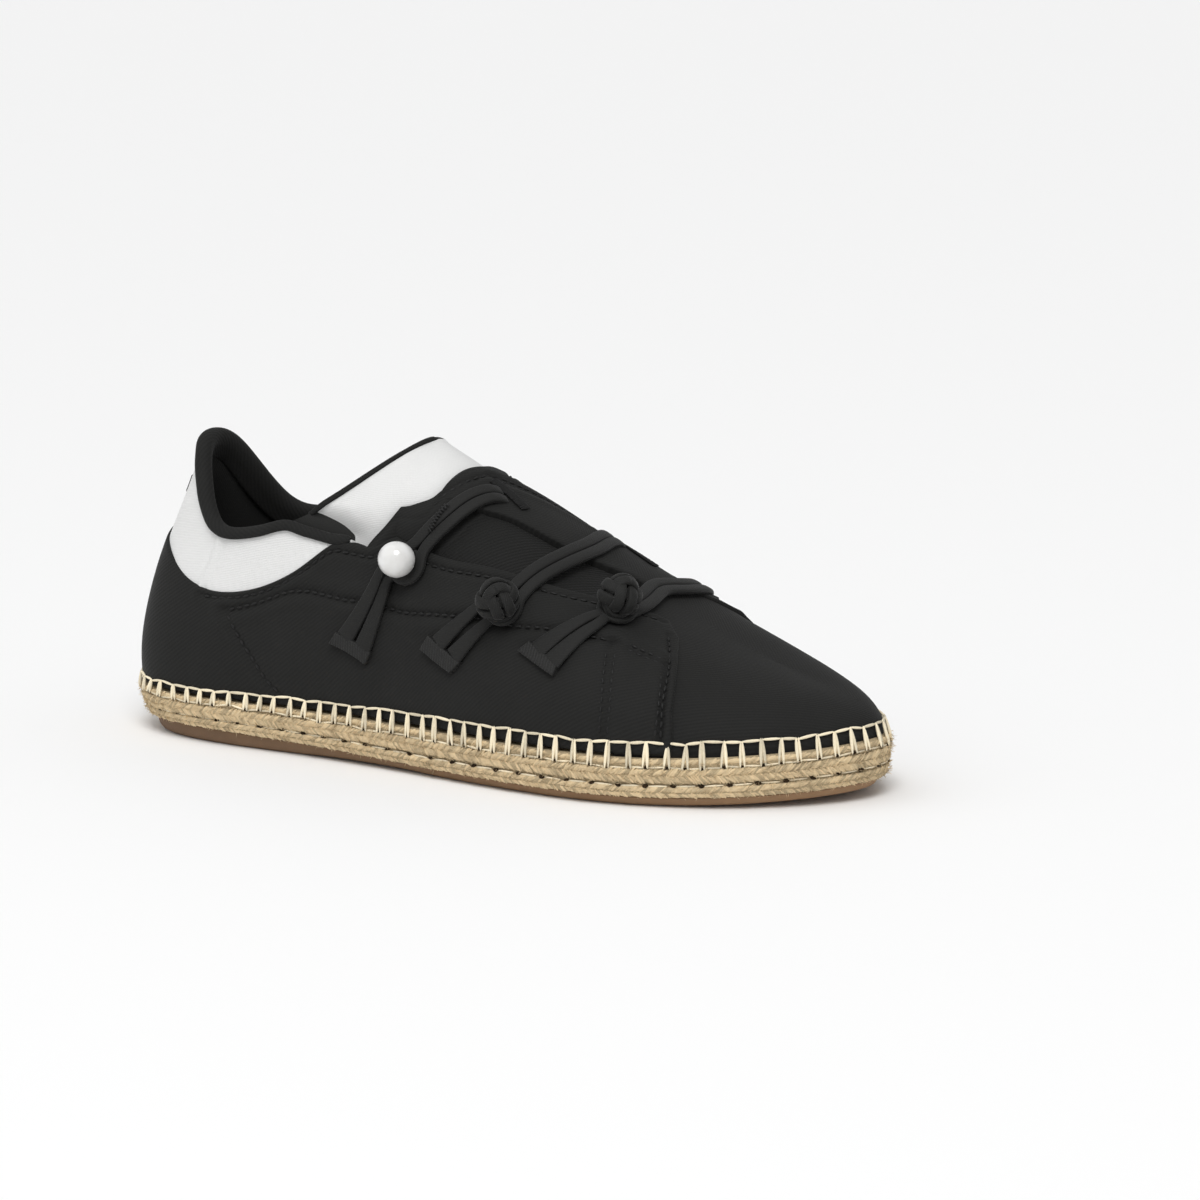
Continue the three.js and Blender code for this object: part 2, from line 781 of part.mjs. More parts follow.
// Stands a turned shape on the upper, its axis along the skin's normal.
function stand(geometry, foot, height) {
  const out = normalAt(foot.t, foot.w);
  const turn = new THREE.Quaternion().setFromUnitVectors(new THREE.Vector3(0, 1, 0), out);
  const at = place(foot.t, foot.w, height);
  return geometry.applyQuaternion(turn).translate(at.x, at.y, at.z);
}

function pearl() {
  const ball = new THREE.SphereGeometry(PEARL_RADIUS, 18, 12);
  return stand(ball, TOP_BUTTON, SURFACE + SEAT_THICK + GAP + PEARL_RADIUS);
}

function pearlSeat() {
  const disc = new THREE.CylinderGeometry(SEAT_RADIUS, SEAT_RADIUS + 0.3, SEAT_THICK, 20);
  return stand(disc, TOP_BUTTON, SURFACE + SEAT_THICK / 2);
}

function knot(foot) {
  const ball = new THREE.SphereGeometry(KNOT_RADIUS, 14, 10);
  return stand(ball, foot, SURFACE + KNOT_RADIUS);
}

// A small plain patch of cloth sewn across the back of the heel.
function backTab() {
  const left = table("t w", [[0.5, -0.2], [0.5, -0.27]]);
  const right = table("t w", [[-0.5, -0.2], [-0.5, -0.27]]);
  return patch(left, right, 2, 8, () => [GAP + 0.8, GAP]);
}

// The sole's side runs in towards the ground at the back of the heel and at the tip of the toe.
function tuck(x) {
  return HEEL_TUCK * (1 - smoothstep(x, 0, 60)) + TOE_TUCK * smoothstep(x, 215, 247);
}

function rubberTop(x) {
  return lerp(OUTSOLE_HEEL, OUTSOLE_FORE, smoothstep(x, 30, 130)) + BOTTOM_SPRING * toeLift(x);
}

// The jute's side: share of its height, and how far it stands out from the feather line.
const JUTE_SIDE = table("share offset", [
  [0, 0.6],
  [0.06, 2.1],
  [0.2, 2.6],
  [0.33, 1.7],
  [0.4, 2.4],
  [0.56, 2.7],
  [0.78, 1.9],
  [0.86, 2.2],
  [1, 1.4],
]);

function midsole() {
  const levels = JUTE_SIDE.map((row) => (x) => ({
    offset: row.offset - (1 - row.share) * tuck(x),
    z: lerp(rubberTop(x) + GAP, JUTE_TOP + toeLift(x), row.share),
  }));
  return footSolid(levels);
}

// The underside is flat at the heel and the forefoot, hollowed a little at the arch.
function outsole() {
  const ground = (x) => {
    const arch = smoothstep(x, 62, 85) * (1 - smoothstep(x, 105, 128));
    return ARCH_LIFT * arch + BOTTOM_SPRING * toeLift(x);
  };
  const levels = [
    (x) => ({ offset: -3.6 - tuck(x), z: ground(x) }),
    (x) => ({ offset: -2.2 - tuck(x), z: ground(x) + 0.25 * (rubberTop(x) - ground(x)) }),
    (x) => ({ offset: -1.2 - tuck(x), z: ground(x) + 0.6 * (rubberTop(x) - ground(x)) }),
    (x) => ({ offset: -0.8 - tuck(x), z: rubberTop(x) }),
  ];
  return footSolid(levels);
}

function insole() {
  const inset = WALL + GAP;
  const level = (offset, height) => (x) => ({ offset, z: FEATHER + toeLift(x) + height });
  return footSolid([
    level(-inset - 1, 0),
    level(-inset - 0.3, 0.6),
    level(-inset - 0.3, INSOLE_THICK - 0.6),
    level(-inset - 1.2, INSOLE_THICK),
  ]);
}

const BLACK_CLOTH = { color: 0x2a2a29, roughness: 0.85, metalness: 0 };
const WHITE_CLOTH = { color: 0xe4e5e6, roughness: 0.6, metalness: 0 };
const JUTE = { color: 0xc9ae80, roughness: 0.9, metalness: 0 };
const RUBBER = { color: 0x6a5240, roughness: 0.7, metalness: 0 };
const LINING = { color: 0x161614, roughness: 0.9, metalness: 0 };
const PEARL = { color: 0xf2f1ee, roughness: 0.2, metalness: 0 };

const shoe = new THREE.Group();
function piece(name, geometry, finish) {
  const closed = geometryOf(solidOf(geometry));
  const mesh = new THREE.Mesh(closed, new THREE.MeshStandardMaterial(finish));
  mesh.name = name;
  shoe.add(mesh);
}

piece("outsole", outsole(), RUBBER);
piece("midsole", midsole(), JUTE);
piece("insole", insole(), LINING);
piece("upper", upper(), BLACK_CLOTH);
piece("tongue", tongue(), WHITE_CLOTH);
piece("collar_binding", collarBinding(), BLACK_CLOTH);
piece("back_tab", backTab(), BLACK_CLOTH);
piece("loop_top", loop(TOP_LOOP, 10), BLACK_CLOTH);
piece("loop_middle", loop(MIDDLE_LOOP, 14), BLACK_CLOTH);
piece("loop_front", loop(FRONT_LOOP, 16), BLACK_CLOTH);
piece("pearl_seat", pearlSeat(), BLACK_CLOTH);
piece("pearl", pearl(), PEARL);
piece("knot_middle", knot(MIDDLE_BUTTON), BLACK_CLOTH);
piece("knot_front", knot(FRONT_BUTTON), BLACK_CLOTH);
TAILS.forEach((row) => piece(row.name, tails(row), BLACK_CLOTH));
TABS.forEach((row) => piece(row.name, tab(row), BLACK_CLOTH));

// The origin is under the middle of the shoe, on the ground.
const box = new THREE.Box3().setFromObject(shoe);
const middle = box.getCenter(new THREE.Vector3());
shoe.position.set(-middle.x, -middle.y, -box.min.z);

export default shoe;
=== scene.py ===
"""Cloth panels, jute braid, stitching, cords and buttons of the slip-on, round its solids."""

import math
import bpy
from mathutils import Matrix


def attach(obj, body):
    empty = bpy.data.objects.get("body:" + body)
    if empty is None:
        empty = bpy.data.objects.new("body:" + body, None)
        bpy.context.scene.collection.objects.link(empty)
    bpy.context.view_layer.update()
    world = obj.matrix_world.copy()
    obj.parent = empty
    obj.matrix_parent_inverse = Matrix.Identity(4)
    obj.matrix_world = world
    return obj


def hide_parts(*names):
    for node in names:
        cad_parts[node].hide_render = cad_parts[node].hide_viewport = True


bl_info = {
    "name": "Jute slip-on",
    "version": (1, 0, 0),
    "blender": (4, 5, 0),
    "location": "View3D > Sidebar > Shoe",
    "description": "Builds the visible pieces of a cloth slip-on on a braided jute sole",
    "category": "Object",
}

import bmesh
import bpy
import numpy as np
from mathutils import Matrix, Vector

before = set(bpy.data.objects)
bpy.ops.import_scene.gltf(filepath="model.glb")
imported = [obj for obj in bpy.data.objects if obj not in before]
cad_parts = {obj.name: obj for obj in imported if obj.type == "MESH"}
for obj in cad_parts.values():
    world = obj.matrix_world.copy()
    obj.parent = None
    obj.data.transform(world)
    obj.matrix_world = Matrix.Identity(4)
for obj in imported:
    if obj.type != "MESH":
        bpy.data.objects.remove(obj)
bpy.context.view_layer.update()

# The same sizes as the solids, in millimetres.
WALL = 2.2
LAYER = 0.8
JUTE_TOP = 14.4
FEATHER = 14.75
TOE_SPRING = 4
SPRING_START = 180
SPRING_RUN = 70
BOTTOM_SPRING = 0.7
ARCH_LIFT = 0.5
OUTSOLE_FORE = 2.7
OUTSOLE_HEEL = 5
HEEL_TUCK = 3
TOE_TUCK = 1.2
TONGUE_DEPTH = WALL + 1.05
TONGUE_DEEP = 5
PINCH_START = 6.2
MILLIMETRE = 0.001
# Rounds of easing for the folds of a panel and of the toe.
PANEL_EASE = 90
TOE_EASE = 160
ORIGIN = np.array([123.7944, -0.4138, 0.0])


def table(columns, rows):
    """Rows of numbers as named columns."""
    return dict(zip(columns.split(), np.array(rows, float).T))


# The last, a row for each station from the back of the heel (0) to the tip of the toe (15).
STATIONS = table("outX outY inX inY foot flare top turn", [
    [0, 0.5, 0, 0.5, 27, 10, 24, 13], [5, -16.5, 5, 17, 27, 9, 22, 10],
    [19, -27.5, 19, 27.5, 23, 8, 18, 4], [40, -31, 40, 30.5, 20, 9, 18, 4],
    [61, -31.3, 61, 29.5, 21, 9, 18, 10], [79, -32.2, 79, 28.5, 24, 9, 17, 26],
    [93, -33.5, 92, 28.5, 26, 9, 17, 55], [107, -35.5, 106, 29.5, 27, 9, 20, 90],
    [125, -38.7, 125, 32.2, 28, 9, 24, 90], [145, -42, 146, 37, 27, 9, 26, 90],
    [166, -44, 168, 41.5, 25, 10, 28, 90], [187, -42.5, 190, 43.2, 22, 11, 29, 90],
    [207, -36.5, 210.5, 39.8, 19, 12, 29, 90], [225, -26.4, 227.5, 31.2, 16, 11, 27, 90],
    [240.5, -12, 239.8, 20.8, 13, 8, 24, 90], [247.2, 5.5, 247.2, 5.5, 11, 4, 22, 90],
])
TOE = 15
# About how long a station is where the strands of the braid are shifted along it.
STATION_LENGTH = 20
MOUTH = table("x half z", [
    [19.5, 0, 91.5], [22.5, 11, 86.5], [32, 21.5, 69.5], [46, 26, 65.8], [64, 26, 71],
    [80, 21.5, 80.5], [93, 13.5, 90.3], [99, 0, 95],
])
CREST = 7
RIDGE = table("x y z", [
    [99, 2, 95], [115, 2.5, 87], [131, 3, 78.3], [146, 4, 68.8], [160, 5, 60.5], [174, 6, 53.3],
    [187, 6.5, 46.8], [199, 7, 41.4], [210, 7.5, 37],
])

# Outlines on the upper: t is the station, w runs from -1 at the outer feather line over 0 at the
# ridge or the mouth to 1 at the inner one. With t below 0 the two sides are changed over, so one
# outline can run right round the heel.
QUARTER_EDGE = np.array([
    [12.2, -0.185, 11.74], [11.81, -0.2, 11.5], [11, -0.27, 11], [10.11, -0.354, 10.1],
    [8.94, -0.428, 8.9], [7.95, -0.468, 8], [6.38, -0.452, 6.4], [5.6, -0.36, 5.4],
    [4.97, -0.287, 4.8], [4.15, -0.318, 4], [3.35, -0.352, 3.3], [2.29, -0.381, 2.3],
    [1.5, -0.42, 1.5], [0.7, -0.43, 0.7], [0, -0.4, 0], [-0.7, -0.43, -0.7], [-1.5, -0.42, -1.5],
    [-2.3, -0.39, -2.3], [-3.5, -0.4, -3.5], [-4.5, -0.43, -4.5], [-5.5, -0.47, -5.5],
    [-6.4, -0.475, -6.5], [-7.2, -0.38, -7.3], [-7.95, -0.22, -7.9], [-8.42, -0.09, -8.2],
    [-8.33, 0.02, -8.4], [-8.2, 0.13, -8.6], [-8.05, 0.216, -8.75], [-7.85, 0.29, -8.9],
    [-7.7, 0.325, -9], [-7.95, 0.275, -9.15], [-8.59, 0.228, -9.3], [-9.15, 0.175, -9.5],
    [-9.91, 0.125, -9.8], [-10.6, 0.075, -10.1], [-11.3, 0.01, -10.4], [-11.8, -0.02, -10.65],
    [-11.72, -0.2, -10.8], [-11.77, -0.385, -10.95],
])
# How far the outer quarter's front edge bows out from a straight line, along its length.
FRONT_BOW = np.array([[0, 0], [0.13, 0.16], [0.38, 0.08], [0.73, -0.05], [1, 0]])
# The white cloth, from the corner of the outer collar round the heel, up the inner side, over the
# crest and down under the outer quarter: its top edge, and its lower edge under the black layer.
WHITE_TOP = np.array([
    [5.5, -0.335], [4.97, -0.25], [4.35, -0.11], [3.9, -0.012], [3, -0.004], [2, -0.004],
    [1, -0.004], [0, -0.004], [-1, -0.004], [-2, -0.004], [-3, -0.004], [-4, -0.004], [-5, -0.004],
    [-6, -0.004], [-6.6, -0.003], [-6.9, -0.002], [-6.99, 0.002], [-6.9, 0.003], [-6.6, 0.004],
    [-6.1, 0.004], [-5.5, 0.004], [-4.9, 0.004], [-4.3, 0.004],
])
WHITE_LOW = np.array([
    [5.6, -0.43], [5.1, -0.4], [4.6, -0.4], [4.1, -0.41], [3.3, -0.44], [2.3, -0.47], [1.4, -0.5],
    [0, -0.5], [-1.4, -0.5], [-2.3, -0.47], [-3.4, -0.48], [-4.4, -0.51], [-5.3, -0.54],
    [-6.3, -0.53], [-7.3, -0.42], [-8.1, -0.26], [-8.6, 0], [-8.5, 0.16], [-8.3, 0.3], [-8, 0.45],
    [-7.3, 0.56], [-6.5, 0.6], [-5.6, 0.6],
])
# Where the white band dips under the black cloth of the throat.
BAND_EDGE = np.array([
    [6.07, -0.42], [6.4, -0.408], [7.22, -0.376], [7.6, -0.346], [7.75, -0.31], [7.83, -0.26],
    [7.95, -0.2], [8.15, -0.14], [8.4, 0],
])
# The black cloth of the throat beside the white band: its edge, its stitches and where it ends.
THROAT_EDGE = np.array([
    [5.95, -0.43], [6.2, -0.412], [6.6, -0.4], [7.1, -0.368], [7.4, -0.332], [7.62, -0.295],
    [7.75, -0.25], [7.88, -0.2], [8.05, -0.14], [8.35, -0.09],
])
THROAT_STITCH = np.array([
    [6.15, -0.44], [6.6, -0.425], [7.2, -0.403], [7.58, -0.37], [7.8, -0.29],
])
THROAT_LOW = np.array([
    [5.9, -0.5], [6.3, -0.55], [6.9, -0.57], [7.5, -0.55], [8, -0.45], [8.35, -0.35], [8.6, -0.25],
    [8.85, -0.16], [9, -0.1],
])
# The ribbed gusset that closes the throat under the quarters.
GUSSET_OUTER = np.array([[6.9, -0.6], [8, -0.6], [10, -0.48], [12, -0.32], [12.7, -0.25]])
GUSSET_INNER = np.array([[7.8, -0.2], [9, -0.05], [10.5, 0.05], [11.8, 0.15], [12.7, 0.05]])
# The back edge of the toe, under the quarters: station and w.
VAMP_BACK = np.array([
    [10.9, -1], [11.3, -0.6], [11.6, -0.35], [11.8, -0.2], [11.85, 0], [11.4, 0.25], [11.2, 0.45],
    [10.6, 0.7], [10.4, 1],
])

# Seams of the black quarters: their line, then how deep and how wide the trough is.
SEAMS = {
    "side": ([[3.01, -0.476], [3.96, -0.42], [4.47, -0.441], [5.18, -0.53], [5.81, -0.589],
              [7.03, -0.66], [8.32, -0.631], [9.07, -0.601], [9.51, -0.588], [10.2, -0.536],
              [11.13, -0.478]], 0.75, 1.5),
    "counter": ([[3.02, -0.475], [3.46, -0.67], [3.6, -0.727], [3.93, -0.867], [4.23, -0.945]],
                0.4, 1.0),
    "front": ([[11.13, -0.478], [10.95, -0.7], [10.79, -0.93]], 0.55, 1.5),
    "slant": ([[11.19, -0.471], [11.55, -0.487], [11.92, -0.502]], 0.5, 1.4),
    "edge": ([[11.92, -0.502], [11.75, -0.7], [11.56, -0.93]], 0.5, 1.4),
    "inner_side": ([[-3.01, -0.476], [-4.3, -0.44], [-5.8, -0.56], [-7, -0.64], [-8.32, -0.63],
                    [-9.5, -0.6], [-10.4, -0.6]], 0.7, 1.5),
    "inner_counter": ([[-3.02, -0.475], [-3.46, -0.67], [-3.93, -0.867], [-4.23, -0.945]],
                      0.4, 1.0),
    "inner_front": ([[-8.35, 0.02], [-8.72, -0.036], [-9.42, -0.181], [-10.05, -0.322],
                     [-10.39, -0.444], [-10.53, -0.6], [-10.41, -0.796], [-10.3, -0.93]], 0.6, 1.5),
    "inner_slant": ([[-10.6, -0.62], [-10.9, -0.64], [-11.38, -0.678]], 0.5, 1.4),
    "inner_edge": ([[-11.6, -0.5], [-11.38, -0.678], [-11.01, -0.93]], 0.5, 1.4),
}
# Rows of stitches: the line, millimetres to the side of it, spacing and stitch length.
STITCH_ROWS = [
    ([[12.05, -0.225], [11.81, -0.235], [11, -0.31], [10.11, -0.392], [8.94, -0.466],
      [7.95, -0.505], [6.7, -0.495], [6.2, -0.475], [5.6, -0.405], [4.97, -0.325],
      [4.15, -0.356], [3.35, -0.39], [2.4, -0.418]], 0, 3.0, 2.1),
    ([[-2.4, -0.42], [-3.5, -0.438], [-4.5, -0.468], [-5.5, -0.51], [-6.4, -0.515],
      [-7.3, -0.42], [-8.05, -0.25], [-8.42, -0.09]], 0, 3.0, 2.1),
    ([[-8.28, 0.03], [-8.14, 0.13], [-7.98, 0.216], [-7.76, 0.298]], 0, 2.8, 2.0),
    ([[12.1, -0.3], [11.98, -0.49], [11.72, -0.73], [11.6, -0.93]], 0, 2.6, 1.9),
    ([[-11.66, -0.55], [-11.5, -0.66], [-11.1, -0.9]], 0, 2.6, 1.9),
    (SEAMS["side"][0], 0, 2.8, 1.9),
    (SEAMS["counter"][0], 0, 2.8, 1.9),
    (SEAMS["front"][0], -1.3, 2.6, 1.8),
    (SEAMS["front"][0], 1.3, 2.6, 1.8),
    (SEAMS["slant"][0], -1.1, 2.6, 1.8),
    (SEAMS["slant"][0], 1.1, 2.6, 1.8),
    (SEAMS["edge"][0], -1.2, 2.6, 1.8),
    (SEAMS["inner_side"][0], 0, 2.8, 1.9),
    (SEAMS["inner_counter"][0], 0, 2.8, 1.9),
    (SEAMS["inner_front"][0], -1.2, 2.6, 1.8),
    (SEAMS["inner_front"][0], 1.2, 2.6, 1.8),
    (SEAMS["inner_slant"][0], -1.1, 2.6, 1.8),
    (SEAMS["inner_slant"][0], 1.1, 2.6, 1.8),
]

# The doubled cord of each closure, from where it leaves the upper to its button: t, w, half width.
LOOPS = {
    "loop_top": [[8.72, -0.108, 6.4], [8.45, -0.2, 6], [8.12, -0.329, 5.4], [7.85, -0.41, 5],
                 [7.66, -0.462, 4.8]],
    "loop_middle": [[10.1, 0.26, 6], [10.3, 0.13, 6], [10.45, 0, 5.8], [10.36, -0.12, 5.6],
                    [10.15, -0.24, 5.4], [9.85, -0.36, 5.2], [9.62, -0.45, 5]],
    "loop_front": [[11.02, 0.435, 4.8], [11.35, 0.34, 4.8], [11.65, 0.22, 4.8], [11.84, 0.11, 4.8],
                   [11.88, 0, 4.8], [11.8, -0.1, 4.8], [11.65, -0.19, 4.8], [11.48, -0.26, 4.8]],
}
BUTTONS = {"loop_top": (7.42, -0.53), "loop_middle": (9.36, -0.545), "loop_front": (11.2, -0.33)}
TAILS = {
    "tails_top": [[6.68, -0.535], [7.1, -0.603], [5.64, -0.674], [6.6, -0.762]],
    "tails_middle": [[8.86, -0.555], [9.15, -0.63], [8.08, -0.694], [8.62, -0.745]],
    "tails_front": [[10.68, -0.43], [11, -0.44], [9.92, -0.612], [10.33, -0.655]],
}
TABS = {
    "tab_top": [[5.5, -0.685], [6.55, -0.775], [5.33, -0.72], [6.39, -0.81]],
    "tab_middle": [[7.93, -0.705], [8.55, -0.76], [7.75, -0.75], [8.34, -0.8]],
    "tab_front": [[9.8, -0.622], [10.26, -0.671], [9.6, -0.669], [10.15, -0.72]],
    "tab_inner": [[10.68, 0.465], [11.14, 0.475], [10.46, 0.52], [10.97, 0.54]],
}
SLITS = {
    "slit_outer": [[8.41, -0.062], [8.8, -0.072], [9.18, -0.092]],
    "slit_inner": [[10.03, 0.285], [10.5, 0.258], [10.93, 0.229]],
}
# The jute's side: share of its height, and how far it stands out from the feather line.
JUTE_SIDE = np.array([
    [0, 0.2], [0.05, 1.5], [0.2, 2.1], [0.3, 1.6], [0.35, 1.3], [0.42, 1.9], [0.56, 2.1],
    [0.7, 1.9], [0.77, 1.5], [0.85, 1.7], [0.95, 1.4], [1, 0.4],
])


def smoothstep(x, low, high):
    share = np.clip((np.asarray(x, float) - low) / (high - low), 0, 1)
    return share * share * (3 - 2 * share)


def loop_spline(values):
    """A smooth curve through a closed ring of values, one unit apart."""
    values = np.asarray(values, float)
    n = len(values)
    ring = 4 * np.eye(n) + np.roll(np.eye(n), 1, 0) + np.roll(np.eye(n), -1, 0)
    pull = 6 * (np.roll(values, 1) - 2 * values + np.roll(values, -1))
    bend = np.linalg.solve(ring, pull)

    def at(s):
        s = np.asarray(s, float)
        whole = np.floor(s).astype(int)
        f = s - whole
        g = 1 - f
        a = whole % n
        b = (a + 1) % n
        curve = (g ** 3 - g) * bend[a] + (f ** 3 - f) * bend[b]
        return g * values[a] + f * values[b] + curve / 6

    return at


def row_spline(values):
    """The same through an open row of values, straight at both ends."""
    values = np.asarray(values, float)
    n = len(values)
    matrix = np.eye(n)
    pull = np.zeros(n)
    for i in range(1, n - 1):
        matrix[i, i - 1:i + 2] = (1, 4, 1)
        pull[i] = 6 * (values[i - 1] - 2 * values[i] + values[i + 1])
    bend = np.linalg.solve(matrix, pull)

    def at(s):
        s = np.asarray(s, float)
        a = np.clip(np.floor(s).astype(int), 0, n - 2)
        f = s - a
        g = 1 - f
        curve = (g ** 3 - g) * bend[a] + (f ** 3 - f) * bend[a + 1]
        return g * values[a] + f * values[a + 1] + curve / 6

    return at


def ring(outer, inner):
    """A column down the outer side and one back along the inner side, as one closed curve."""
    return loop_spline(np.concatenate([outer, inner[1:-1][::-1]]))


FOOT_X = ring(STATIONS["outX"], STATIONS["inX"])
FOOT_Y = ring(STATIONS["outY"], STATIONS["inY"])
FOOT_HANDLE = ring(STATIONS["foot"], STATIONS["foot"])
FOOT_FLARE = ring(STATIONS["flare"], STATIONS["flare"])
TOP_HANDLE = ring(STATIONS["top"], STATIONS["top"])
TOP_TURN = ring(STATIONS["turn"], STATIONS["turn"])
MOUTH_X = ring(MOUTH["x"], MOUTH["x"])
MOUTH_Y = ring(-MOUTH["half"], MOUTH["half"])
MOUTH_Z = ring(MOUTH["z"], MOUTH["z"])
RIDGE_X = row_spline(RIDGE["x"])
RIDGE_Y = row_spline(RIDGE["y"])
RIDGE_Z = row_spline(RIDGE["z"])


def toe_lift(x):
    run = np.maximum(0, (np.asarray(x, float) - SPRING_START) / SPRING_RUN)
    return TOE_SPRING * run * run


def foot_normal(s):
    step = 0.001
    dx = FOOT_X(s + step) - FOOT_X(s - step)
    dy = FOOT_Y(s + step) - FOOT_Y(s - step)
    length = np.hypot(dx, dy)
    return dy / length, -dx / length


def station_of(s):
    wrapped = np.mod(s, 2 * TOE)
    return np.minimum(wrapped, 2 * TOE - wrapped)


def is_outer(s):
    return np.mod(s, 2 * TOE) <= TOE


def skin(s, v):
    """A point of the last's skin: v is 0 at the feather line and 1 at the mouth or ridge."""
    s, v = np.broadcast_arrays(np.asarray(s, float), np.asarray(v, float))
    t = station_of(s)
    nx, ny = foot_normal(s)
    flare = np.radians(FOOT_FLARE(s))
    turn = np.where(t >= CREST, np.pi / 2, np.radians(TOP_TURN(s)))
    foot = np.stack([FOOT_X(s), FOOT_Y(s), FEATHER + toe_lift(FOOT_X(s))], -1)
    m = np.where(is_outer(s), t, 2 * CREST - t)
    mouth = [MOUTH_X(m), MOUTH_Y(m) + RIDGE["y"][0] * t / CREST, MOUTH_Z(m)]
    r = np.maximum(t - CREST, 0)
    ridge = [RIDGE_X(r), RIDGE_Y(r), RIDGE_Z(r)]
    top = np.stack([np.where(t > CREST, a, b) for a, b in zip(ridge, mouth)], -1)
    inside = np.clip(t - CREST, 0.02, len(RIDGE["x"]) - 1.01)
    step = 0.001
    slope = (RIDGE_Z(inside + step) - RIDGE_Z(inside - step)) / (
        RIDGE_X(inside + step) - RIDGE_X(inside - step))
    low = np.stack([nx * np.sin(flare), ny * np.sin(flare), np.cos(flare)], -1)
    lean = np.sin(turn)
    high = np.stack([lean * nx, lean * ny, lean * slope * nx - np.cos(turn)], -1)
    low = foot + low * FOOT_HANDLE(s)[..., None]
    high = top + high * TOP_HANDLE(s)[..., None]
    v = v[..., None]
    g = 1 - v
    return g ** 3 * foot + 3 * g * g * v * low + 3 * g * v * v * high + v ** 3 * top


def unit(a):
    return a / np.maximum(np.linalg.norm(a, axis=-1, keepdims=True), 1e-9)


def side_normal(s, v):
    step = 0.002
    along = skin(s + step, v) - skin(s - step, v)
    up = skin(s, np.minimum(v + step, 1)) - skin(s, v - step)
    return unit(np.cross(along, up))


def skin_normal(s, v):
    s, v = np.broadcast_arrays(np.asarray(s, float), np.asarray(v, float))
    t = station_of(s)
    outer = is_outer(s)

    def at(station):
        return np.where(outer, station, 2 * TOE - station)

    past = at(np.maximum(t, CREST + 0.02))
    normal = side_normal(past, v)
    both = unit(normal + side_normal(2 * TOE - past, v))
    normal = np.where((v >= 1)[..., None], both, normal)
    share = np.maximum((t - PINCH_START) / (CREST - PINCH_START), 0)[..., None]
    near = side_normal(at(np.minimum(t, PINCH_START)), v)
    mixed = unit(near * (1 - share) + normal * share)
    return np.where((t >= CREST)[..., None], normal, mixed)


def on_skin(t, w):
    t, w = np.broadcast_arrays(np.asarray(t, float), np.asarray(w, float))
    return np.where(w <= 0, t, 2 * TOE - t), 1 - np.abs(w)


def place(t, w, height):
    """A point above the skin in the measures of the outlines, and the skin's normal there."""
    s, v = on_skin(t, w)
    normal = skin_normal(s, v)
    return skin(s, v) + normal * np.asarray(height, float)[..., None], normal


def catmull(rows, p):
    """A smooth curve through rows of numbers, p from 0 to 1 with even steps for each row."""
    rows = np.asarray(rows, float)
    n = len(rows) - 1
    x = np.clip(np.asarray(p, float), 0, 1) * n
    i = np.clip(np.floor(x).astype(int), 0, n - 1)
    f = (x - i)[..., None]
    a = rows[np.where(i == 0, 0, i - 1)]
    b = rows[i]
    c = rows[i + 1]
    d = rows[np.minimum(i + 2, n)]
    slope_b = (c - a) / 2
    slope_c = (d - b) / 2
    return ((2 * b - 2 * c + slope_b + slope_c) * f ** 3
            + (3 * c - 3 * b - 2 * slope_b - slope_c) * f ** 2 + slope_b * f + b)


def lengths(points, axis=0):
    """Distance run along a line of points, or along every line of a grid, from its start."""
    step = np.linalg.norm(np.diff(points, axis=axis), axis=-1)
    start = np.zeros_like(np.take(step, [0], axis))
    return np.concatenate([start, np.cumsum(step, axis)], axis)


def even(rows, spacing, height=0.0):
    """Points and normals on the skin along an outline, evenly spaced in millimetres."""
    fine = catmull(rows, np.linspace(0, 1, 40 * len(rows)))
    points, _ = place(fine[:, 0], fine[:, 1], np.zeros(len(fine)))
    run = lengths(points)
    count = max(int(run[-1] / spacing), 2)
    at = np.linspace(0, run[-1], count + 1)
    t = np.interp(at, run, fine[:, 0])
    w = np.interp(at, run, fine[:, 1])
    return place(t, w, np.full(len(t), height))


def make_object(name, points, faces, material, uv):
    """A mesh object from points in millimetres of the last."""
    mesh = bpy.data.meshes.new(name)
    local = (np.asarray(points).reshape(-1, 3) - ORIGIN) * MILLIMETRE
    mesh.from_pydata(local.tolist(), [], faces if isinstance(faces, list) else faces.tolist())
    layer = mesh.uv_layers.new(name="UVMap")
    corner = np.zeros(len(mesh.loops), int)
    mesh.loops.foreach_get("vertex_index", corner)
    layer.data.foreach_set("uv", np.asarray(uv).reshape(-1, 2)[corner].ravel())
    mesh.polygons.foreach_set("use_smooth", [True] * len(mesh.polygons))
    mesh.materials.append(material)
    mesh.validate()
    mesh.update()
    thing = bpy.data.objects.new(name, mesh)
    bpy.context.scene.collection.objects.link(thing)
    return thing


def tidy_mesh(thing, distance=0.00001, outwards=True):
    """Merges corners that fell together, and turns the faces of a closed body outwards."""
    work = bmesh.new()
    work.from_mesh(thing.data)
    bmesh.ops.remove_doubles(work, verts=work.verts, dist=distance)
    if outwards:
        bmesh.ops.recalc_face_normals(work, faces=work.faces)
    work.to_mesh(thing.data)
    work.free()
    thing.data.update()


def finish_piece(thing, slot, *nodes):
    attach(thing, "root")
    if nodes:
        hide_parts(*nodes)
    return thing


def grid_faces(rows, columns, closed=False):
    last = rows if closed else rows - 1
    i, j = np.meshgrid(np.arange(last), np.arange(columns - 1), indexing="ij")
    a = i * columns + j
    b = ((i + 1) % rows) * columns + j
    return np.stack([a, b, b + 1, a + 1], -1).reshape(-1, 4)


def facing(points, faces, normals):
    """The same faces, turned over if they look against the normals given at the points."""
    flat = points.reshape(-1, 3)
    corners = flat[faces[:, :3]]
    face = np.cross(corners[:, 1] - corners[:, 0], corners[:, 2] - corners[:, 0])
    agree = np.sum(face * normals.reshape(-1, 3)[faces[:, 0]])
    return faces if agree > 0 else faces[:, ::-1]


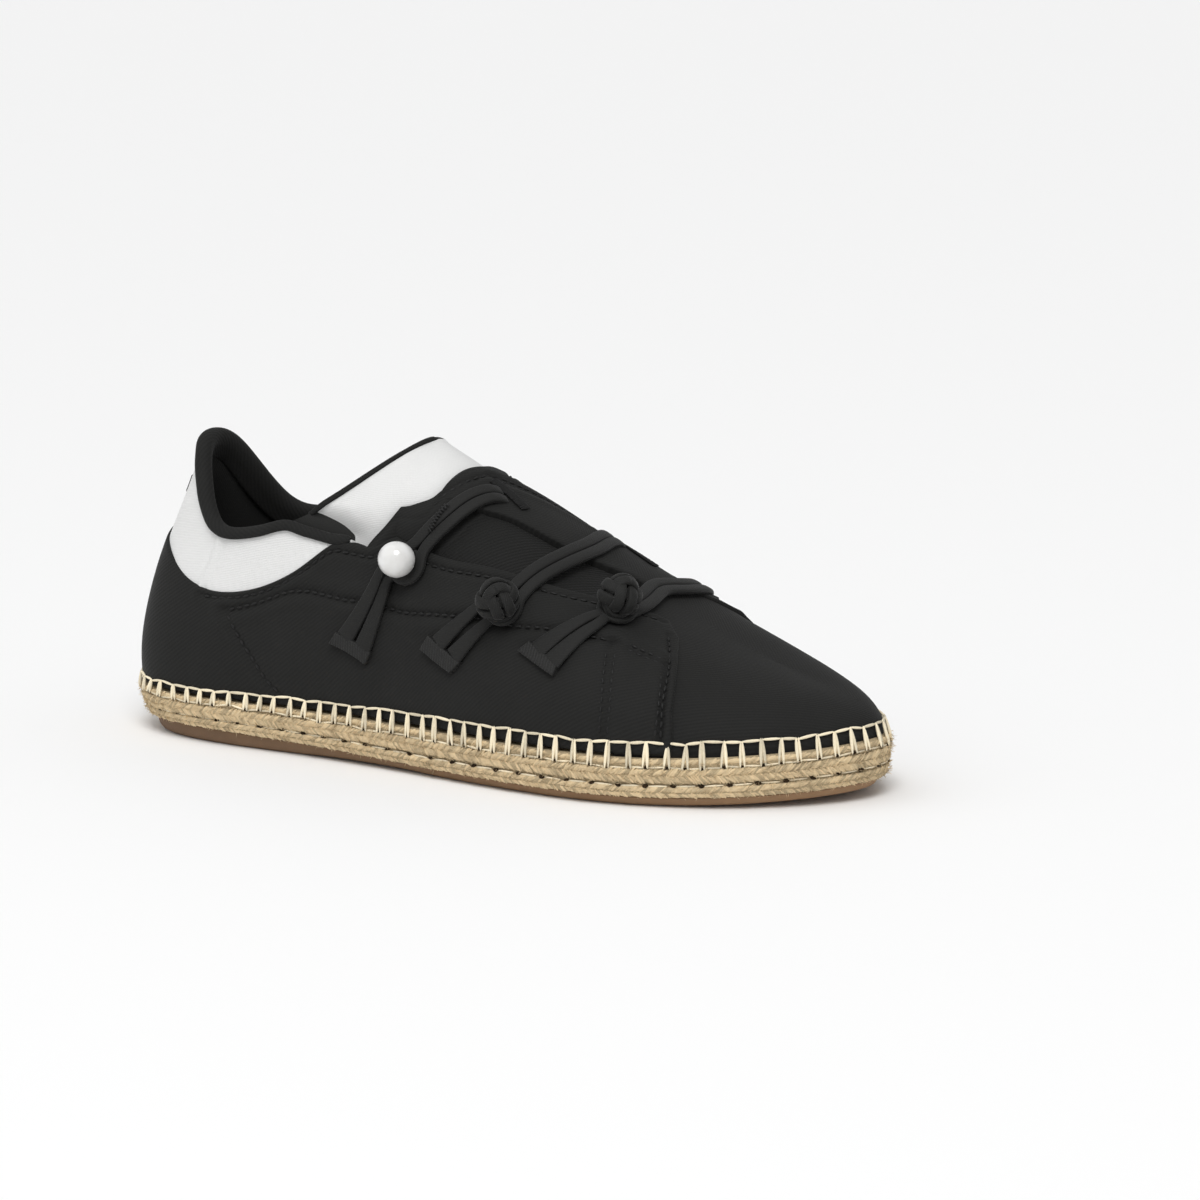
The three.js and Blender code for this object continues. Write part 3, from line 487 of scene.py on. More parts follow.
def crowded(count, fold, length):
    """Shares of a length from 0 to 1, close together over the fold at both ends."""
    edge = np.array([0, 0.03, 0.12, 0.3, 0.6]) * fold / length
    middle = np.linspace(fold / length, 1 - fold / length, count)
    return np.concatenate([edge, middle, 1 - edge[::-1]])


def cloth_uv(points):
    """Where the cloth's yarns run: along the shoe, or round the heel, and up to the middle."""
    x, y, z = points[..., 0], points[..., 1], points[..., 2]
    middle = 7 * smoothstep(x, 60, 150)
    round_heel = -28 * np.arctan2(28 - x, np.abs(y) + 0.01)
    along = np.where(x > 28, x - 28, round_heel)
    front = smoothstep(x, 10, 50)
    side = front * np.abs(y - middle) + (1 - front) * 30
    return np.stack([along, z - side], -1) / 100


def soften(surface, strength, steps):
    """Eases out folds in a grid of points where strength is above 0."""
    for _ in range(steps):
        mean = (surface[:-2, 1:-1] + surface[2:, 1:-1] + surface[1:-1, :-2] + surface[1:-1, 2:]) / 4
        surface[1:-1, 1:-1] += strength[1:-1, 1:-1, None] * (mean - surface[1:-1, 1:-1])
    return surface


def panel(name, edge_a, edge_b, size, top, material, fold=0.8, skirt=WALL, relief=None, bow=None,
          ease=None):
    """A cloth panel on the last between two outlines, with rounded edges that are turned down.

    top is its height above the skin, a number or from (t, w, q), with q the share across. relief
    adds to it, skirt is how far its edges go down, and ease says where folds are eased out.
    """
    along, across = size
    fine = np.linspace(0, 1, 400)
    middle = (catmull(edge_a, fine) + catmull(edge_b, fine)) / 2
    run = lengths(place(middle[:, 0], middle[:, 1], np.zeros(400))[0])
    share = crowded(along, fold, run[-1])
    p = np.interp(share * run[-1], run, fine)
    start = catmull(edge_a, p)[:, None, :]
    end = catmull(edge_b, p)[:, None, :]
    coarse = np.linspace(0, 1, 40)
    line = start + (end - start) * coarse[None, :, None]
    points, _ = place(line[..., 0], line[..., 1], np.zeros(line.shape[:2]))
    span = lengths(points, 1)
    q = np.stack([np.interp(crowded(across, fold, row[-1]) * row[-1], row, coarse) for row in span])
    at = start + (end - start) * q[..., None]
    t, w = at[..., 0], at[..., 1]
    if bow is not None:
        shape = np.interp(q, bow[:, 0], bow[:, 1])
        t = t + shape * np.maximum(0, 1 - share[:, None] / 0.06)
    base, normal = place(t, w, np.zeros(t.shape))
    over = lengths(base, 1)
    along_run = lengths(base)
    edge = np.minimum(np.minimum(over, over[:, -1:] - over),
                      np.minimum(along_run, along_run[-1:] - along_run))
    short = np.maximum(fold - edge, 0)
    height = top(t, w, q) if callable(top) else np.full(t.shape, float(top))
    height = height - (fold - np.sqrt(np.maximum(fold * fold - short * short, 0)))
    if relief is not None:
        height = height + relief(base, t, w, q) * smoothstep(edge, 0, 1.5)
    surface = base + normal * height[..., None]
    if ease is not None:
        inner = smoothstep(edge, fold, fold + 4)
        surface = soften(surface, ease(t, w) * inner, PANEL_EASE)
    down = surface - normal * skirt
    rows, columns = t.shape
    full = np.zeros((rows + 2, columns + 2, 3))
    full[1:-1, 1:-1] = surface
    full[0, 1:-1], full[-1, 1:-1] = down[0], down[-1]
    full[1:-1, 0], full[1:-1, -1] = down[:, 0], down[:, -1]
    for corner in ((0, 0), (0, -1), (-1, 0), (-1, -1)):
        full[corner] = down[corner]
    normals = np.pad(normal, ((1, 1), (1, 1), (0, 0)), mode="edge")
    uv = cloth_uv(np.pad(base, ((1, 1), (1, 1), (0, 0)), mode="edge"))
    faces = facing(full, grid_faces(rows + 2, columns + 2), normals)
    return make_object(name, full, faces, material, uv)


def near_line(points, rows, spacing=0.8):
    """Distance in millimetres of each point from an outline on the skin."""
    line, _ = even(rows, spacing)
    flat = points.reshape(-1, 3)
    best = np.full(len(flat), 1e9)
    for start in range(0, len(flat), 20000):
        part = flat[start:start + 20000]
        gap = np.linalg.norm(part[:, None, :] - line[None, :, :], axis=-1)
        best[start:start + 20000] = gap.min(1)
    return best.reshape(points.shape[:-1])


def waves(points, scale, seed):
    """Soft, slow ripples that depend only on the place, from -1 to 1."""
    rng = np.random.default_rng(seed)
    count = 5
    total = np.zeros(points.shape[:-1])
    for _ in range(count):
        direction = rng.normal(size=3)
        direction /= np.linalg.norm(direction) * scale
        total += np.sin(points @ direction * 2 * np.pi + rng.uniform(0, 6.28))
    return total / count


# Materials


def new_group(name, inputs, outputs):
    """An empty shader group with named sockets."""
    group = bpy.data.node_groups.new(name, "ShaderNodeTree")
    face = group.interface
    for label, value in inputs.items():
        socket = face.new_socket(name=label, in_out="INPUT", socket_type="NodeSocketFloat")
        socket.default_value = value
    for label, kind in outputs.items():
        face.new_socket(name=label, in_out="OUTPUT", socket_type=kind)
    return group


class Nodes:
    """Short calls for adding and linking nodes in one tree."""

    def __init__(self, tree):
        self.tree = tree

    def add(self, kind, inputs=None, **settings):
        node = self.tree.nodes.new(kind)
        for label, value in settings.items():
            setattr(node, label, value)
        for label, value in (inputs or {}).items():
            if isinstance(value, bpy.types.NodeSocket):
                self.tree.links.new(value, node.inputs[label])
            else:
                node.inputs[label].default_value = value
        return node

    def maths(self, operation, a, b=0.0):
        return self.add("ShaderNodeMath", {0: a, 1: b}, operation=operation).outputs[0]

    def weighted(self, *pairs):
        """The sum of some values, each times its share."""
        parts = [self.maths("MULTIPLY", value, share) for value, share in pairs]
        total = parts.pop()
        while parts:
            total = self.maths("ADD", parts.pop(), total)
        return total

    def ramp(self, value, stops):
        node = self.add("ShaderNodeValToRGB", {"Fac": value})
        ramp = node.color_ramp
        while len(ramp.elements) < len(stops):
            ramp.elements.new(0.5)
        for element, (where, colour) in zip(ramp.elements, stops):
            element.position = where
            element.color = (*colour, 1)
        return node.outputs["Color"]


def weave_group():
    """Diagonal or straight yarns on the piece's own UV map: a height and a mask of the grooves."""
    group = new_group("Cloth weave", {"Yarns per mm": 1.6, "Turn": 0.9, "Slub": 0.35},
                      {"Height": "NodeSocketFloat", "Groove": "NodeSocketFloat"})
    nodes = Nodes(group)
    put = nodes.add("NodeGroupInput")
    out = nodes.add("NodeGroupOutput")
    uv = nodes.add("ShaderNodeUVMap", uv_map="UVMap")
    turned = nodes.add("ShaderNodeVectorRotate",
                       {"Vector": uv.outputs["UV"], "Angle": put.outputs["Turn"]},
                       rotation_type="Z_AXIS")
    parts = nodes.add("ShaderNodeSeparateXYZ", {"Vector": turned.outputs["Vector"]})
    pitch = nodes.maths("MULTIPLY", put.outputs["Yarns per mm"], 100 * 2 * math.pi)
    noise = nodes.add("ShaderNodeTexNoise", {"Vector": turned.outputs["Vector"], "Scale": 90.0,
                                             "Detail": 3.0}, noise_dimensions="3D")
    sway = nodes.maths("MULTIPLY", noise.outputs["Fac"], nodes.maths(
        "MULTIPLY", put.outputs["Slub"], 5.0))
    across = nodes.maths("ADD", nodes.maths("MULTIPLY", parts.outputs["X"], pitch), sway)
    along = nodes.maths("ADD", nodes.maths("MULTIPLY", parts.outputs["Y"], pitch), across)
    one = nodes.maths("SINE", across)
    two = nodes.maths("SINE", along)
    woven = nodes.maths("ADD", nodes.maths("MULTIPLY", one, 0.7), nodes.maths(
        "MULTIPLY", nodes.maths("MULTIPLY", one, two), 0.3))
    height = nodes.maths("ADD", nodes.maths("MULTIPLY", woven, 0.5), 0.5)
    group.links.new(height, out.inputs["Height"])
    group.links.new(nodes.maths("SUBTRACT", 1.0, height), out.inputs["Groove"])
    return group


def mottle_group():
    """Cloudy patches and fine fibres in the piece's own space, as two masks."""
    group = new_group("Fibre mottle", {"Patch size mm": 12.0, "Fibre size mm": 0.5, "Rough": 0.6},
                      {"Patch": "NodeSocketFloat", "Fibre": "NodeSocketFloat"})
    nodes = Nodes(group)
    put = nodes.add("NodeGroupInput")
    out = nodes.add("NodeGroupOutput")
    place_at = nodes.add("ShaderNodeTexCoord")
    large = nodes.maths("DIVIDE", 1000.0, put.outputs["Patch size mm"])
    fine = nodes.maths("DIVIDE", 1000.0, put.outputs["Fibre size mm"])
    patch = nodes.add("ShaderNodeTexNoise", {"Vector": place_at.outputs["Object"], "Scale": large,
                                             "Detail": 3.0})
    fibre = nodes.add("ShaderNodeTexNoise", {"Vector": place_at.outputs["Object"], "Scale": fine,
                                             "Detail": 4.0, "Roughness": put.outputs["Rough"]})
    group.links.new(patch.outputs["Fac"], out.inputs["Patch"])
    group.links.new(fibre.outputs["Fac"], out.inputs["Fibre"])
    return group


def new_material(name, settings):
    material = bpy.data.materials.new(name)
    material.use_nodes = True
    tree = material.node_tree
    shader = tree.nodes["Principled BSDF"]
    for label, value in settings.items():
        shader.inputs[label].default_value = value
    return material, Nodes(tree), shader


def use_group(nodes, group, values):
    node = nodes.add("ShaderNodeGroup", node_tree=group)
    for label, value in values.items():
        node.inputs[label].default_value = value
    return node


def between(colour, share):
    return tuple(c * share for c in colour)


def cloth_material(name, colour, weave, mottle, yarns, turn, slub, depth, settings, spread=0.75):
    """Woven cloth: yarns in the bump and, faintly, in the colour, with cloudy patches."""
    material, nodes, shader = new_material(name, settings)
    yarn = use_group(nodes, weave, {"Yarns per mm": yarns, "Turn": turn, "Slub": slub})
    cloud = use_group(nodes, mottle, {"Patch size mm": 14.0, "Fibre size mm": 0.35, "Rough": 0.6})
    mixed = nodes.weighted((yarn.outputs["Height"], 0.45), (cloud.outputs["Patch"], 0.35),
                           (cloud.outputs["Fibre"], 0.2))
    ramp = nodes.ramp(mixed, [(0.2, between(colour, spread)), (0.8, between(colour, 2 - spread))])
    nodes.tree.links.new(ramp, shader.inputs["Base Color"])
    height = nodes.maths("ADD", yarn.outputs["Height"], nodes.maths(
        "MULTIPLY", cloud.outputs["Fibre"], 0.8))
    bump = nodes.add("ShaderNodeBump", {"Height": height, "Strength": 0.6, "Distance": depth})
    nodes.tree.links.new(bump.outputs["Normal"], shader.inputs["Normal"])
    return material


def strand_material(name, colour, dark, mottle, settings, depth=0.0004):
    """Jute or thread: each strand has its own tint, with fine fibres."""
    material, nodes, shader = new_material(name, settings)
    cloud = use_group(nodes, mottle, {"Patch size mm": 9.0, "Fibre size mm": 0.55, "Rough": 0.75})
    tint = nodes.add("ShaderNodeAttribute", attribute_name="tint")
    mixed = nodes.weighted((tint.outputs["Fac"], 0.4), (cloud.outputs["Patch"], 0.2),
                           (cloud.outputs["Fibre"], 0.4))
    ramp = nodes.ramp(mixed, [(0.22, dark), (0.5, colour), (0.8, between(colour, 1.22))])
    nodes.tree.links.new(ramp, shader.inputs["Base Color"])
    bump = nodes.add("ShaderNodeBump", {"Height": cloud.outputs["Fibre"], "Strength": 0.9,
                                        "Distance": depth})
    nodes.tree.links.new(bump.outputs["Normal"], shader.inputs["Normal"])
    return material


def rubber_material(mottle, colour, toe):
    """Brown rubber, lighter towards the toe, with grit."""
    settings = {"Roughness": 0.72, "Specular IOR Level": 0.35}
    material, nodes, shader = new_material("Rubber", settings)
    cloud = use_group(nodes, mottle, {"Patch size mm": 7.0, "Fibre size mm": 0.6, "Rough": 0.7})
    where = nodes.add("ShaderNodeTexCoord")
    parts = nodes.add("ShaderNodeSeparateXYZ", {"Vector": where.outputs["Object"]})
    share = nodes.add("ShaderNodeMapRange", {"Value": parts.outputs["X"], "From Min": -0.1,
                                             "From Max": 0.11}).outputs["Result"]
    # Lighter from the heel towards the toe along the sole, with cloudy patches.
    toe_share_mottled = nodes.maths("ADD", share, nodes.maths("MULTIPLY", nodes.maths(
        "SUBTRACT", cloud.outputs["Patch"], 0.5), 0.5))
    ramp = nodes.ramp(toe_share_mottled, [(0.0, colour), (1.0, toe)])
    nodes.tree.links.new(ramp, shader.inputs["Base Color"])
    bump = nodes.add("ShaderNodeBump", {"Height": cloud.outputs["Fibre"], "Strength": 0.5,
                                        "Distance": 0.0004})
    nodes.tree.links.new(bump.outputs["Normal"], shader.inputs["Normal"])
    return material


def pearl_material(mottle):
    material, nodes, shader = new_material("Pearl", {
        "Roughness": 0.22, "Coat Weight": 0.8, "Coat Roughness": 0.06, "Sheen Weight": 0.2,
        "Specular IOR Level": 0.6})
    cloud = use_group(nodes, mottle, {"Patch size mm": 5.0, "Fibre size mm": 1.0, "Rough": 0.4})
    ramp = nodes.ramp(cloud.outputs["Patch"], [(0.3, (0.7, 0.69, 0.67)), (0.7, (0.8, 0.8, 0.79))])
    nodes.tree.links.new(ramp, shader.inputs["Base Color"])
    return material


def linear(colour):
    """An eight-bit screen colour, such as (42, 42, 41), as linear light."""
    share = [c / 255 for c in colour]
    return tuple(c / 12.92 if c <= 0.04045 else ((c + 0.055) / 1.055) ** 2.4 for c in share)


MATERIALS = {}


def make_materials(colours):
    weave = weave_group()
    mottle = mottle_group()
    soft = {"Roughness": 0.8, "Sheen Weight": 0.05, "Sheen Roughness": 0.35,
            "Specular IOR Level": 0.2}
    MATERIALS["black"] = cloth_material("Black twill", tuple(colours.black_cloth), weave, mottle,
                                        0.85, 0.95, 0.7, 0.00012, soft)
    MATERIALS["cord"] = cloth_material("Cord cloth", between(colours.black_cloth, 1.05), weave,
                                       mottle, 2.0, 0.7, 0.4, 0.00012,
                                       {**soft, "Roughness": 0.65, "Sheen Weight": 0.1})
    MATERIALS["ribbon"] = cloth_material("Ribbed ribbon", between(colours.black_cloth, 0.95), weave,
                                         mottle, 1.1, 0.0, 0.1, 0.0003,
                                         {**soft, "Roughness": 0.6, "Specular IOR Level": 0.3})
    MATERIALS["gusset"] = cloth_material("Ribbed gusset", between(colours.black_cloth, 0.9), weave,
                                         mottle, 0.75, 0.6, 0.1, 0.0005, soft)
    MATERIALS["lining"] = cloth_material("Lining cloth", tuple(colours.lining), weave, mottle,
                                         1.8, 0.8, 0.3, 0.0001, {**soft, "Sheen Weight": 0.05})
    MATERIALS["white"] = cloth_material("White stretch cloth", tuple(colours.white_cloth), weave,
                                        mottle, 1.2, 1.35, 0.8, 0.00009,
                                        {"Roughness": 0.55, "Sheen Weight": 0.2,
                                         "Sheen Roughness": 0.4, "Specular IOR Level": 0.35},
                                        spread=0.96)
    MATERIALS["jute"] = strand_material("Jute", tuple(colours.jute), between(colours.jute, 0.5),
                                        mottle, {"Roughness": 0.88, "Specular IOR Level": 0.2})
    MATERIALS["thread"] = strand_material("Cream thread", tuple(colours.thread),
                                          between(colours.thread, 0.6), mottle,
                                          {"Roughness": 0.75, "Specular IOR Level": 0.25}, 0.0002)
    # Black thread, set far darker than the black cloth so the stitches look sunken: its own black
    # plus painted shade of the stitch dimples.
    MATERIALS["dark_thread"] = strand_material(
        "Black thread and painted shade", between(colours.black_cloth, 0.3), between(colours.black_cloth, 0.2),
        mottle, {"Roughness": 0.6, "Specular IOR Level": 0.4}, 0.0001)
    # Near-black brown for the blobs where the thread goes into the jute: painted shade, not a
    # colour of the jute or of the thread.
    MATERIALS["hole"] = strand_material("Needle hole", (0.035, 0.022, 0.012), (0.015, 0.01, 0.006),
                                        mottle, {"Roughness": 0.95, "Specular IOR Level": 0.1})
    MATERIALS["rubber"] = rubber_material(mottle, tuple(colours.rubber), tuple(colours.rubber_toe))
    MATERIALS["pearl"] = pearl_material(mottle)


# Repeats


def strand_tree():
    """Lays a rounded strand on every point of a path, along its stored direction."""
    tree = bpy.data.node_groups.new("Lay strands", "GeometryNodeTree")
    face = tree.interface
    face.new_socket(name="Geometry", in_out="OUTPUT", socket_type="NodeSocketGeometry")
    face.new_socket(name="Geometry", in_out="INPUT", socket_type="NodeSocketGeometry")
    for label, value in (("Length", 0.002), ("Width", 0.0006), ("Thickness", 0.0006),
                         ("Lean", 0.0), ("Scatter", 0.05), ("Uneven", 0.1)):
        socket = face.new_socket(name=label, in_out="INPUT", socket_type="NodeSocketFloat")
        socket.default_value = value
    for label, value in (("Seed", 1), ("Sides", 8)):
        socket = face.new_socket(name=label, in_out="INPUT", socket_type="NodeSocketInt")
        socket.default_value = value
    face.new_socket(name="Material", in_out="INPUT", socket_type="NodeSocketMaterial")
    nodes = Nodes(tree)
    put = nodes.add("NodeGroupInput").outputs
    out = nodes.add("NodeGroupOutput")

    def attribute(name, kind):
        return nodes.add("GeometryNodeInputNamedAttribute", {"Name": name}, data_type=kind)

    along = attribute("along", "FLOAT_VECTOR").outputs["Attribute"]
    outward = attribute("outward", "FLOAT_VECTOR").outputs["Attribute"]
    reach = attribute("reach", "FLOAT").outputs["Attribute"]
    turn = nodes.add("FunctionNodeAlignRotationToVector", {"Vector": along}, axis="X")
    turn = nodes.add("FunctionNodeAlignRotationToVector",
                     {"Rotation": turn.outputs["Rotation"], "Vector": outward},
                     axis="Z", pivot_axis="X")

    def random(seed_shift, low, high):
        seed = nodes.maths("ADD", put["Seed"], float(seed_shift))
        value = nodes.add("FunctionNodeRandomValue", {"Min": low, "Max": high, "Seed": seed},
                          data_type="FLOAT")
        return value.outputs["Value"]

    swing = random(0, -1.0, 1.0)
    lean = nodes.maths("ADD", put["Lean"], nodes.maths("MULTIPLY", put["Scatter"], swing))
    angles = nodes.add("ShaderNodeCombineXYZ", {"Z": lean})
    spin = nodes.add("FunctionNodeEulerToRotation", {"Euler": angles.outputs["Vector"]})
    turned = nodes.add("FunctionNodeRotateRotation", {
        "Rotation": turn.outputs["Rotation"], "Rotate By": spin.outputs["Rotation"]},
        rotation_space="LOCAL")
    grow = random(7, -1.0, 1.0)
    size = nodes.maths("ADD", 1.0, nodes.maths("MULTIPLY", put["Uneven"], grow))
    half = nodes.maths("MULTIPLY", size, 0.5)
    length = nodes.maths("MULTIPLY", nodes.maths("MULTIPLY", put["Length"], reach), 0.5)
    scale = nodes.add("ShaderNodeCombineXYZ", {
        "X": length, "Y": nodes.maths("MULTIPLY", put["Width"], half),
        "Z": nodes.maths("MULTIPLY", put["Thickness"], half)})
    ball = nodes.add("GeometryNodeMeshUVSphere",
                     {"Segments": put["Sides"], "Rings": 6, "Radius": 1.0})
    lie_down = nodes.add("GeometryNodeTransform", {
        "Geometry": ball.outputs["Mesh"], "Rotation": (0.0, math.pi / 2, 0.0)})
    laid = nodes.add("GeometryNodeInstanceOnPoints", {
        "Points": put["Geometry"], "Instance": lie_down.outputs["Geometry"],
        "Rotation": turned.outputs["Rotation"], "Scale": scale.outputs["Vector"]})
    tint = random(13, 0.0, 1.0)
    tinted = nodes.add("GeometryNodeStoreNamedAttribute", {
        "Geometry": laid.outputs["Instances"], "Name": "tint", "Value": tint},
        data_type="FLOAT", domain="INSTANCE")
    real = nodes.add("GeometryNodeRealizeInstances", {"Geometry": tinted.outputs["Geometry"]})
    soft = nodes.add("GeometryNodeSetShadeSmooth", {"Geometry": real.outputs["Geometry"]})
    named = nodes.add("GeometryNodeSetMaterial", {
        "Geometry": soft.outputs["Geometry"], "Material": put["Material"]})
    tree.links.new(named.outputs["Geometry"], out.inputs["Geometry"])
    return tree


def lay(name, rows, material, slot):
    """One piece of strands. Each row has its points, directions, normals and sizes."""
    tree = bpy.data.node_groups.get("Lay strands") or strand_tree()
    sockets = {item.name: item.identifier for item in tree.interface.items_tree
               if item.in_out == "INPUT"}
    made = []
    for number, row in enumerate(rows):
        points = (np.asarray(row["points"]) - ORIGIN) * MILLIMETRE
        mesh = bpy.data.meshes.new(name)
        mesh.from_pydata(points.tolist(), [], [])
        for label, values in (("along", row["along"]), ("outward", row["outward"])):
            layer = mesh.attributes.new(label, "FLOAT_VECTOR", "POINT")
            layer.data.foreach_set("vector", np.asarray(values, np.float32).ravel())
        reach = np.broadcast_to(np.asarray(row.get("reach", 1.0), np.float32), (len(points),))
        layer = mesh.attributes.new("reach", "FLOAT", "POINT")
        layer.data.foreach_set("value", np.ascontiguousarray(reach))
        path = bpy.data.objects.new(name, mesh)
        bpy.context.scene.collection.objects.link(path)
        change = path.modifiers.new("Strands", "NODES")
        change.node_group = tree
        length, width, thickness = (value * MILLIMETRE for value in row["size"])
        values = {"Length": length, "Width": width, "Thickness": thickness,
                  "Lean": row.get("lean", 0.0), "Scatter": row.get("scatter", 0.04),
                  "Uneven": row.get("uneven", 0.08), "Seed": 11 * number + 3,
                  "Sides": row.get("sides", 8), "Material": material}
        for label, value in values.items():
            change[sockets[label]] = value
        evaluated = path.evaluated_get(bpy.context.evaluated_depsgraph_get())
        made.append(bpy.data.meshes.new_from_object(evaluated))
        bpy.data.objects.remove(path)
    work = bmesh.new()
    for mesh in made:
        work.from_mesh(mesh)
    whole = bpy.data.meshes.new(name)
    work.to_mesh(whole)
    work.free()
    whole.materials.clear()
    whole.materials.append(material)
    thing = bpy.data.objects.new(name, whole)
    bpy.context.scene.collection.objects.link(thing)
    return finish_piece(thing, slot)


def directions(points):
    return unit(np.gradient(points, axis=0))


# Sole


def fore_share(x):
    return smoothstep(x, 30, 130)


def rubber_top(x):
    flat = OUTSOLE_HEEL + (OUTSOLE_FORE - OUTSOLE_HEEL) * fore_share(x)
    return flat + BOTTOM_SPRING * toe_lift(x)


def tuck(x):
    """How far the sole's side runs in at its foot, at the heel and at the tip of the toe."""
    return HEEL_TUCK * (1 - smoothstep(x, 0, 60)) + TOE_TUCK * smoothstep(x, 215, 247)


def rim_point(s, offset, z):
    nx, ny = foot_normal(s)
    return np.stack([FOOT_X(s) + nx * offset, FOOT_Y(s) + ny * offset, z + 0 * nx], -1)


def jute_point(s, share, stand):
    """A point on the jute's side, and a little more if stand is above 0."""
    x = FOOT_X(s)
    offset = np.interp(share, JUTE_SIDE[:, 0], JUTE_SIDE[:, 1]) + stand
    return rim_point(s, offset - (1 - share) * tuck(x), jute_height(x, share))


def even_stations(spacing, offset=2.0):
    """Stations round the foot that are evenly spaced in millimetres, and the true spacing."""
    fine = np.linspace(0, 2 * TOE, 3000)
    run = lengths(rim_point(fine, offset, 0 * fine))
    count = int(round(run[-1] / spacing))
    return np.interp(np.arange(count) * run[-1] / count, run, fine), run[-1] / count


def sole_solid(name, levels, material, uneven=0.0):
    """A closed body with the outline of the foot, from (offset, height) levels along the length."""
    columns = 420
    s = even_stations(1.0, 0)[0]
    s = np.interp(np.linspace(0, len(s), columns, endpoint=False), np.arange(len(s)), s)
    x = FOOT_X(s)
    rings = [rim_point(s, offset(x), height(x)) for offset, height in levels]
    if uneven:
        rings = [ring_points + uneven * waves(ring_points, 5, 4)[:, None]
                 * np.stack([*foot_normal(s), 0 * s], -1) for ring_points in rings]

    def inward(line):
        """Rings that close a level towards a spine along the middle of the sole."""
        spine = np.stack([np.clip(line[:, 0], 28, 222), np.full(len(line), 3.0), line[:, 2]], -1)
        return [spine + (line - spine) * share for share in (0.75, 0.4, 0.0)]

    rings = [*inward(rings[0])[::-1], *rings, *inward(rings[-1])]
    points = np.stack(rings, 1)
    run = lengths(points[:, len(rings) // 2])
    height = np.broadcast_to(points[..., 2], points.shape[:2])
    uv = np.stack([np.broadcast_to(run[:, None], height.shape), height], -1) / 100
    faces = grid_faces(columns, len(rings), closed=True)
    thing = make_object(name, points, faces, material, uv)
    tidy_mesh(thing)
    return thing


def make_outsole():
    def ground(x):
        arch = smoothstep(x, 62, 85) * (1 - smoothstep(x, 105, 128))
        return ARCH_LIFT * arch + BOTTOM_SPRING * toe_lift(x)

    def level(offset, share):
        return (lambda x: offset - tuck(x),
                lambda x: ground(x) + share * (rubber_top(x) - ground(x)))

    levels = [level(-3.6, 0), level(-2.6, 0.02), level(-1.7, 0.12), level(-1.1, 0.3),
              level(-0.7, 0.6), level(-0.4, 0.85), level(-0.35, 0.97), level(-0.8, 1.0)]
    thing = sole_solid("outsole_rubber", levels, MATERIALS["rubber"], uneven=0.12)
    return finish_piece(thing, "rubber", "outsole")


def jute_height(x, share):
    low = rubber_top(x) + 0.2
    return low + share * (JUTE_TOP + toe_lift(x) - low)


def make_jute():
    shares = np.linspace(0, 1, 26)
    offsets = np.interp(shares, JUTE_SIDE[:, 0], JUTE_SIDE[:, 1])
    levels = [(lambda x, o=o, a=a: o - (1 - a) * tuck(x), lambda x, a=a: jute_height(x, a))
              for a, o in zip(shares, offsets)]
    thing = sole_solid("jute_core", levels, MATERIALS["jute"], uneven=0.15)
    return finish_piece(thing, "jute", "midsole")


def rim_row(share, stand, spacing, size, lean, shift=0.0):
    """Strands round the jute at one share of its height, leaning from level."""
    s, true_spacing = even_stations(spacing)
    s = s + shift * true_spacing / STATION_LENGTH
    points = jute_point(s, share, stand)
    closed = np.concatenate([points[-1:], points, points[:1]])
    along = unit(closed[2:] - closed[:-2])
    outward = np.stack([*foot_normal(s), 0 * s], -1)
    return {"points": points, "along": along, "outward": outward, "size": size, "lean": lean,
            "scatter": 0.22, "uneven": 0.3, "sides": 6}


def make_braid():
    pitch = 0.85
    upper = [
        rim_row(0.92, 0.1, pitch, (3.0, 0.85, 0.9), 0.55),
        rim_row(0.665, 0.1, pitch, (3.5, 0.9, 0.95), 0.72),
        rim_row(0.485, 0.1, pitch, (3.5, 0.9, 0.95), -0.72, 0.5),
    ]
    lower = [
        rim_row(0.235, 0.0, pitch, (3.0, 0.9, 0.9), 0.62),
        rim_row(0.09, -0.1, pitch, (2.8, 0.9, 0.9), -0.62, 0.4),
    ]
    lay("jute_braid", upper, MATERIALS["jute"], "jute")
    lay("jute_braid_low", lower, MATERIALS["jute"], "jute")


def make_fuzz():
    """Loose fibres that stand off the jute."""
    rng = np.random.default_rng(8)
    count = 6000
    s = rng.uniform(0, 2 * TOE, count)
    share = rng.uniform(0.0, 0.97, count)
    points = jute_point(s, share, rng.uniform(0.35, 0.85, count))
    outward = np.stack([*foot_normal(s), 0 * s], -1)
    along = unit(rng.normal(size=(count, 3)) * [1, 1, 0.6] + 0.2 * outward)
    rows = [{"points": points, "along": along, "outward": outward, "size": (2.6, 0.15, 0.15),
             "uneven": 0.4, "sides": 3, "reach": rng.uniform(0.4, 1.3, count)}]
    return lay("jute_fuzz", rows, MATERIALS["jute"], "jute")


def cloth_over(s):
    """How far the cloth stands out from the skin at the sole."""
    t = station_of(s)
    front = np.where(is_outer(s), 11.68, 11.05)
    return np.where(t < front, LAYER, 0.05)


def cloth_point(s, up, over):
    """A point on the cloth, a few millimetres above the feather line."""
    rise = 3 * FOOT_HANDLE(s) * np.cos(np.radians(FOOT_FLARE(s)))
    v = np.maximum(up, 0) / rise * 1.06
    normal = skin_normal(s, v)
    return skin(s, v) + normal * (cloth_over(s) + over)[..., None], normal


# The spacing of the whipping and of the running stitches round the sole.
WHIP_SPACING = 5.6
SEWN_SPACING = 8.2


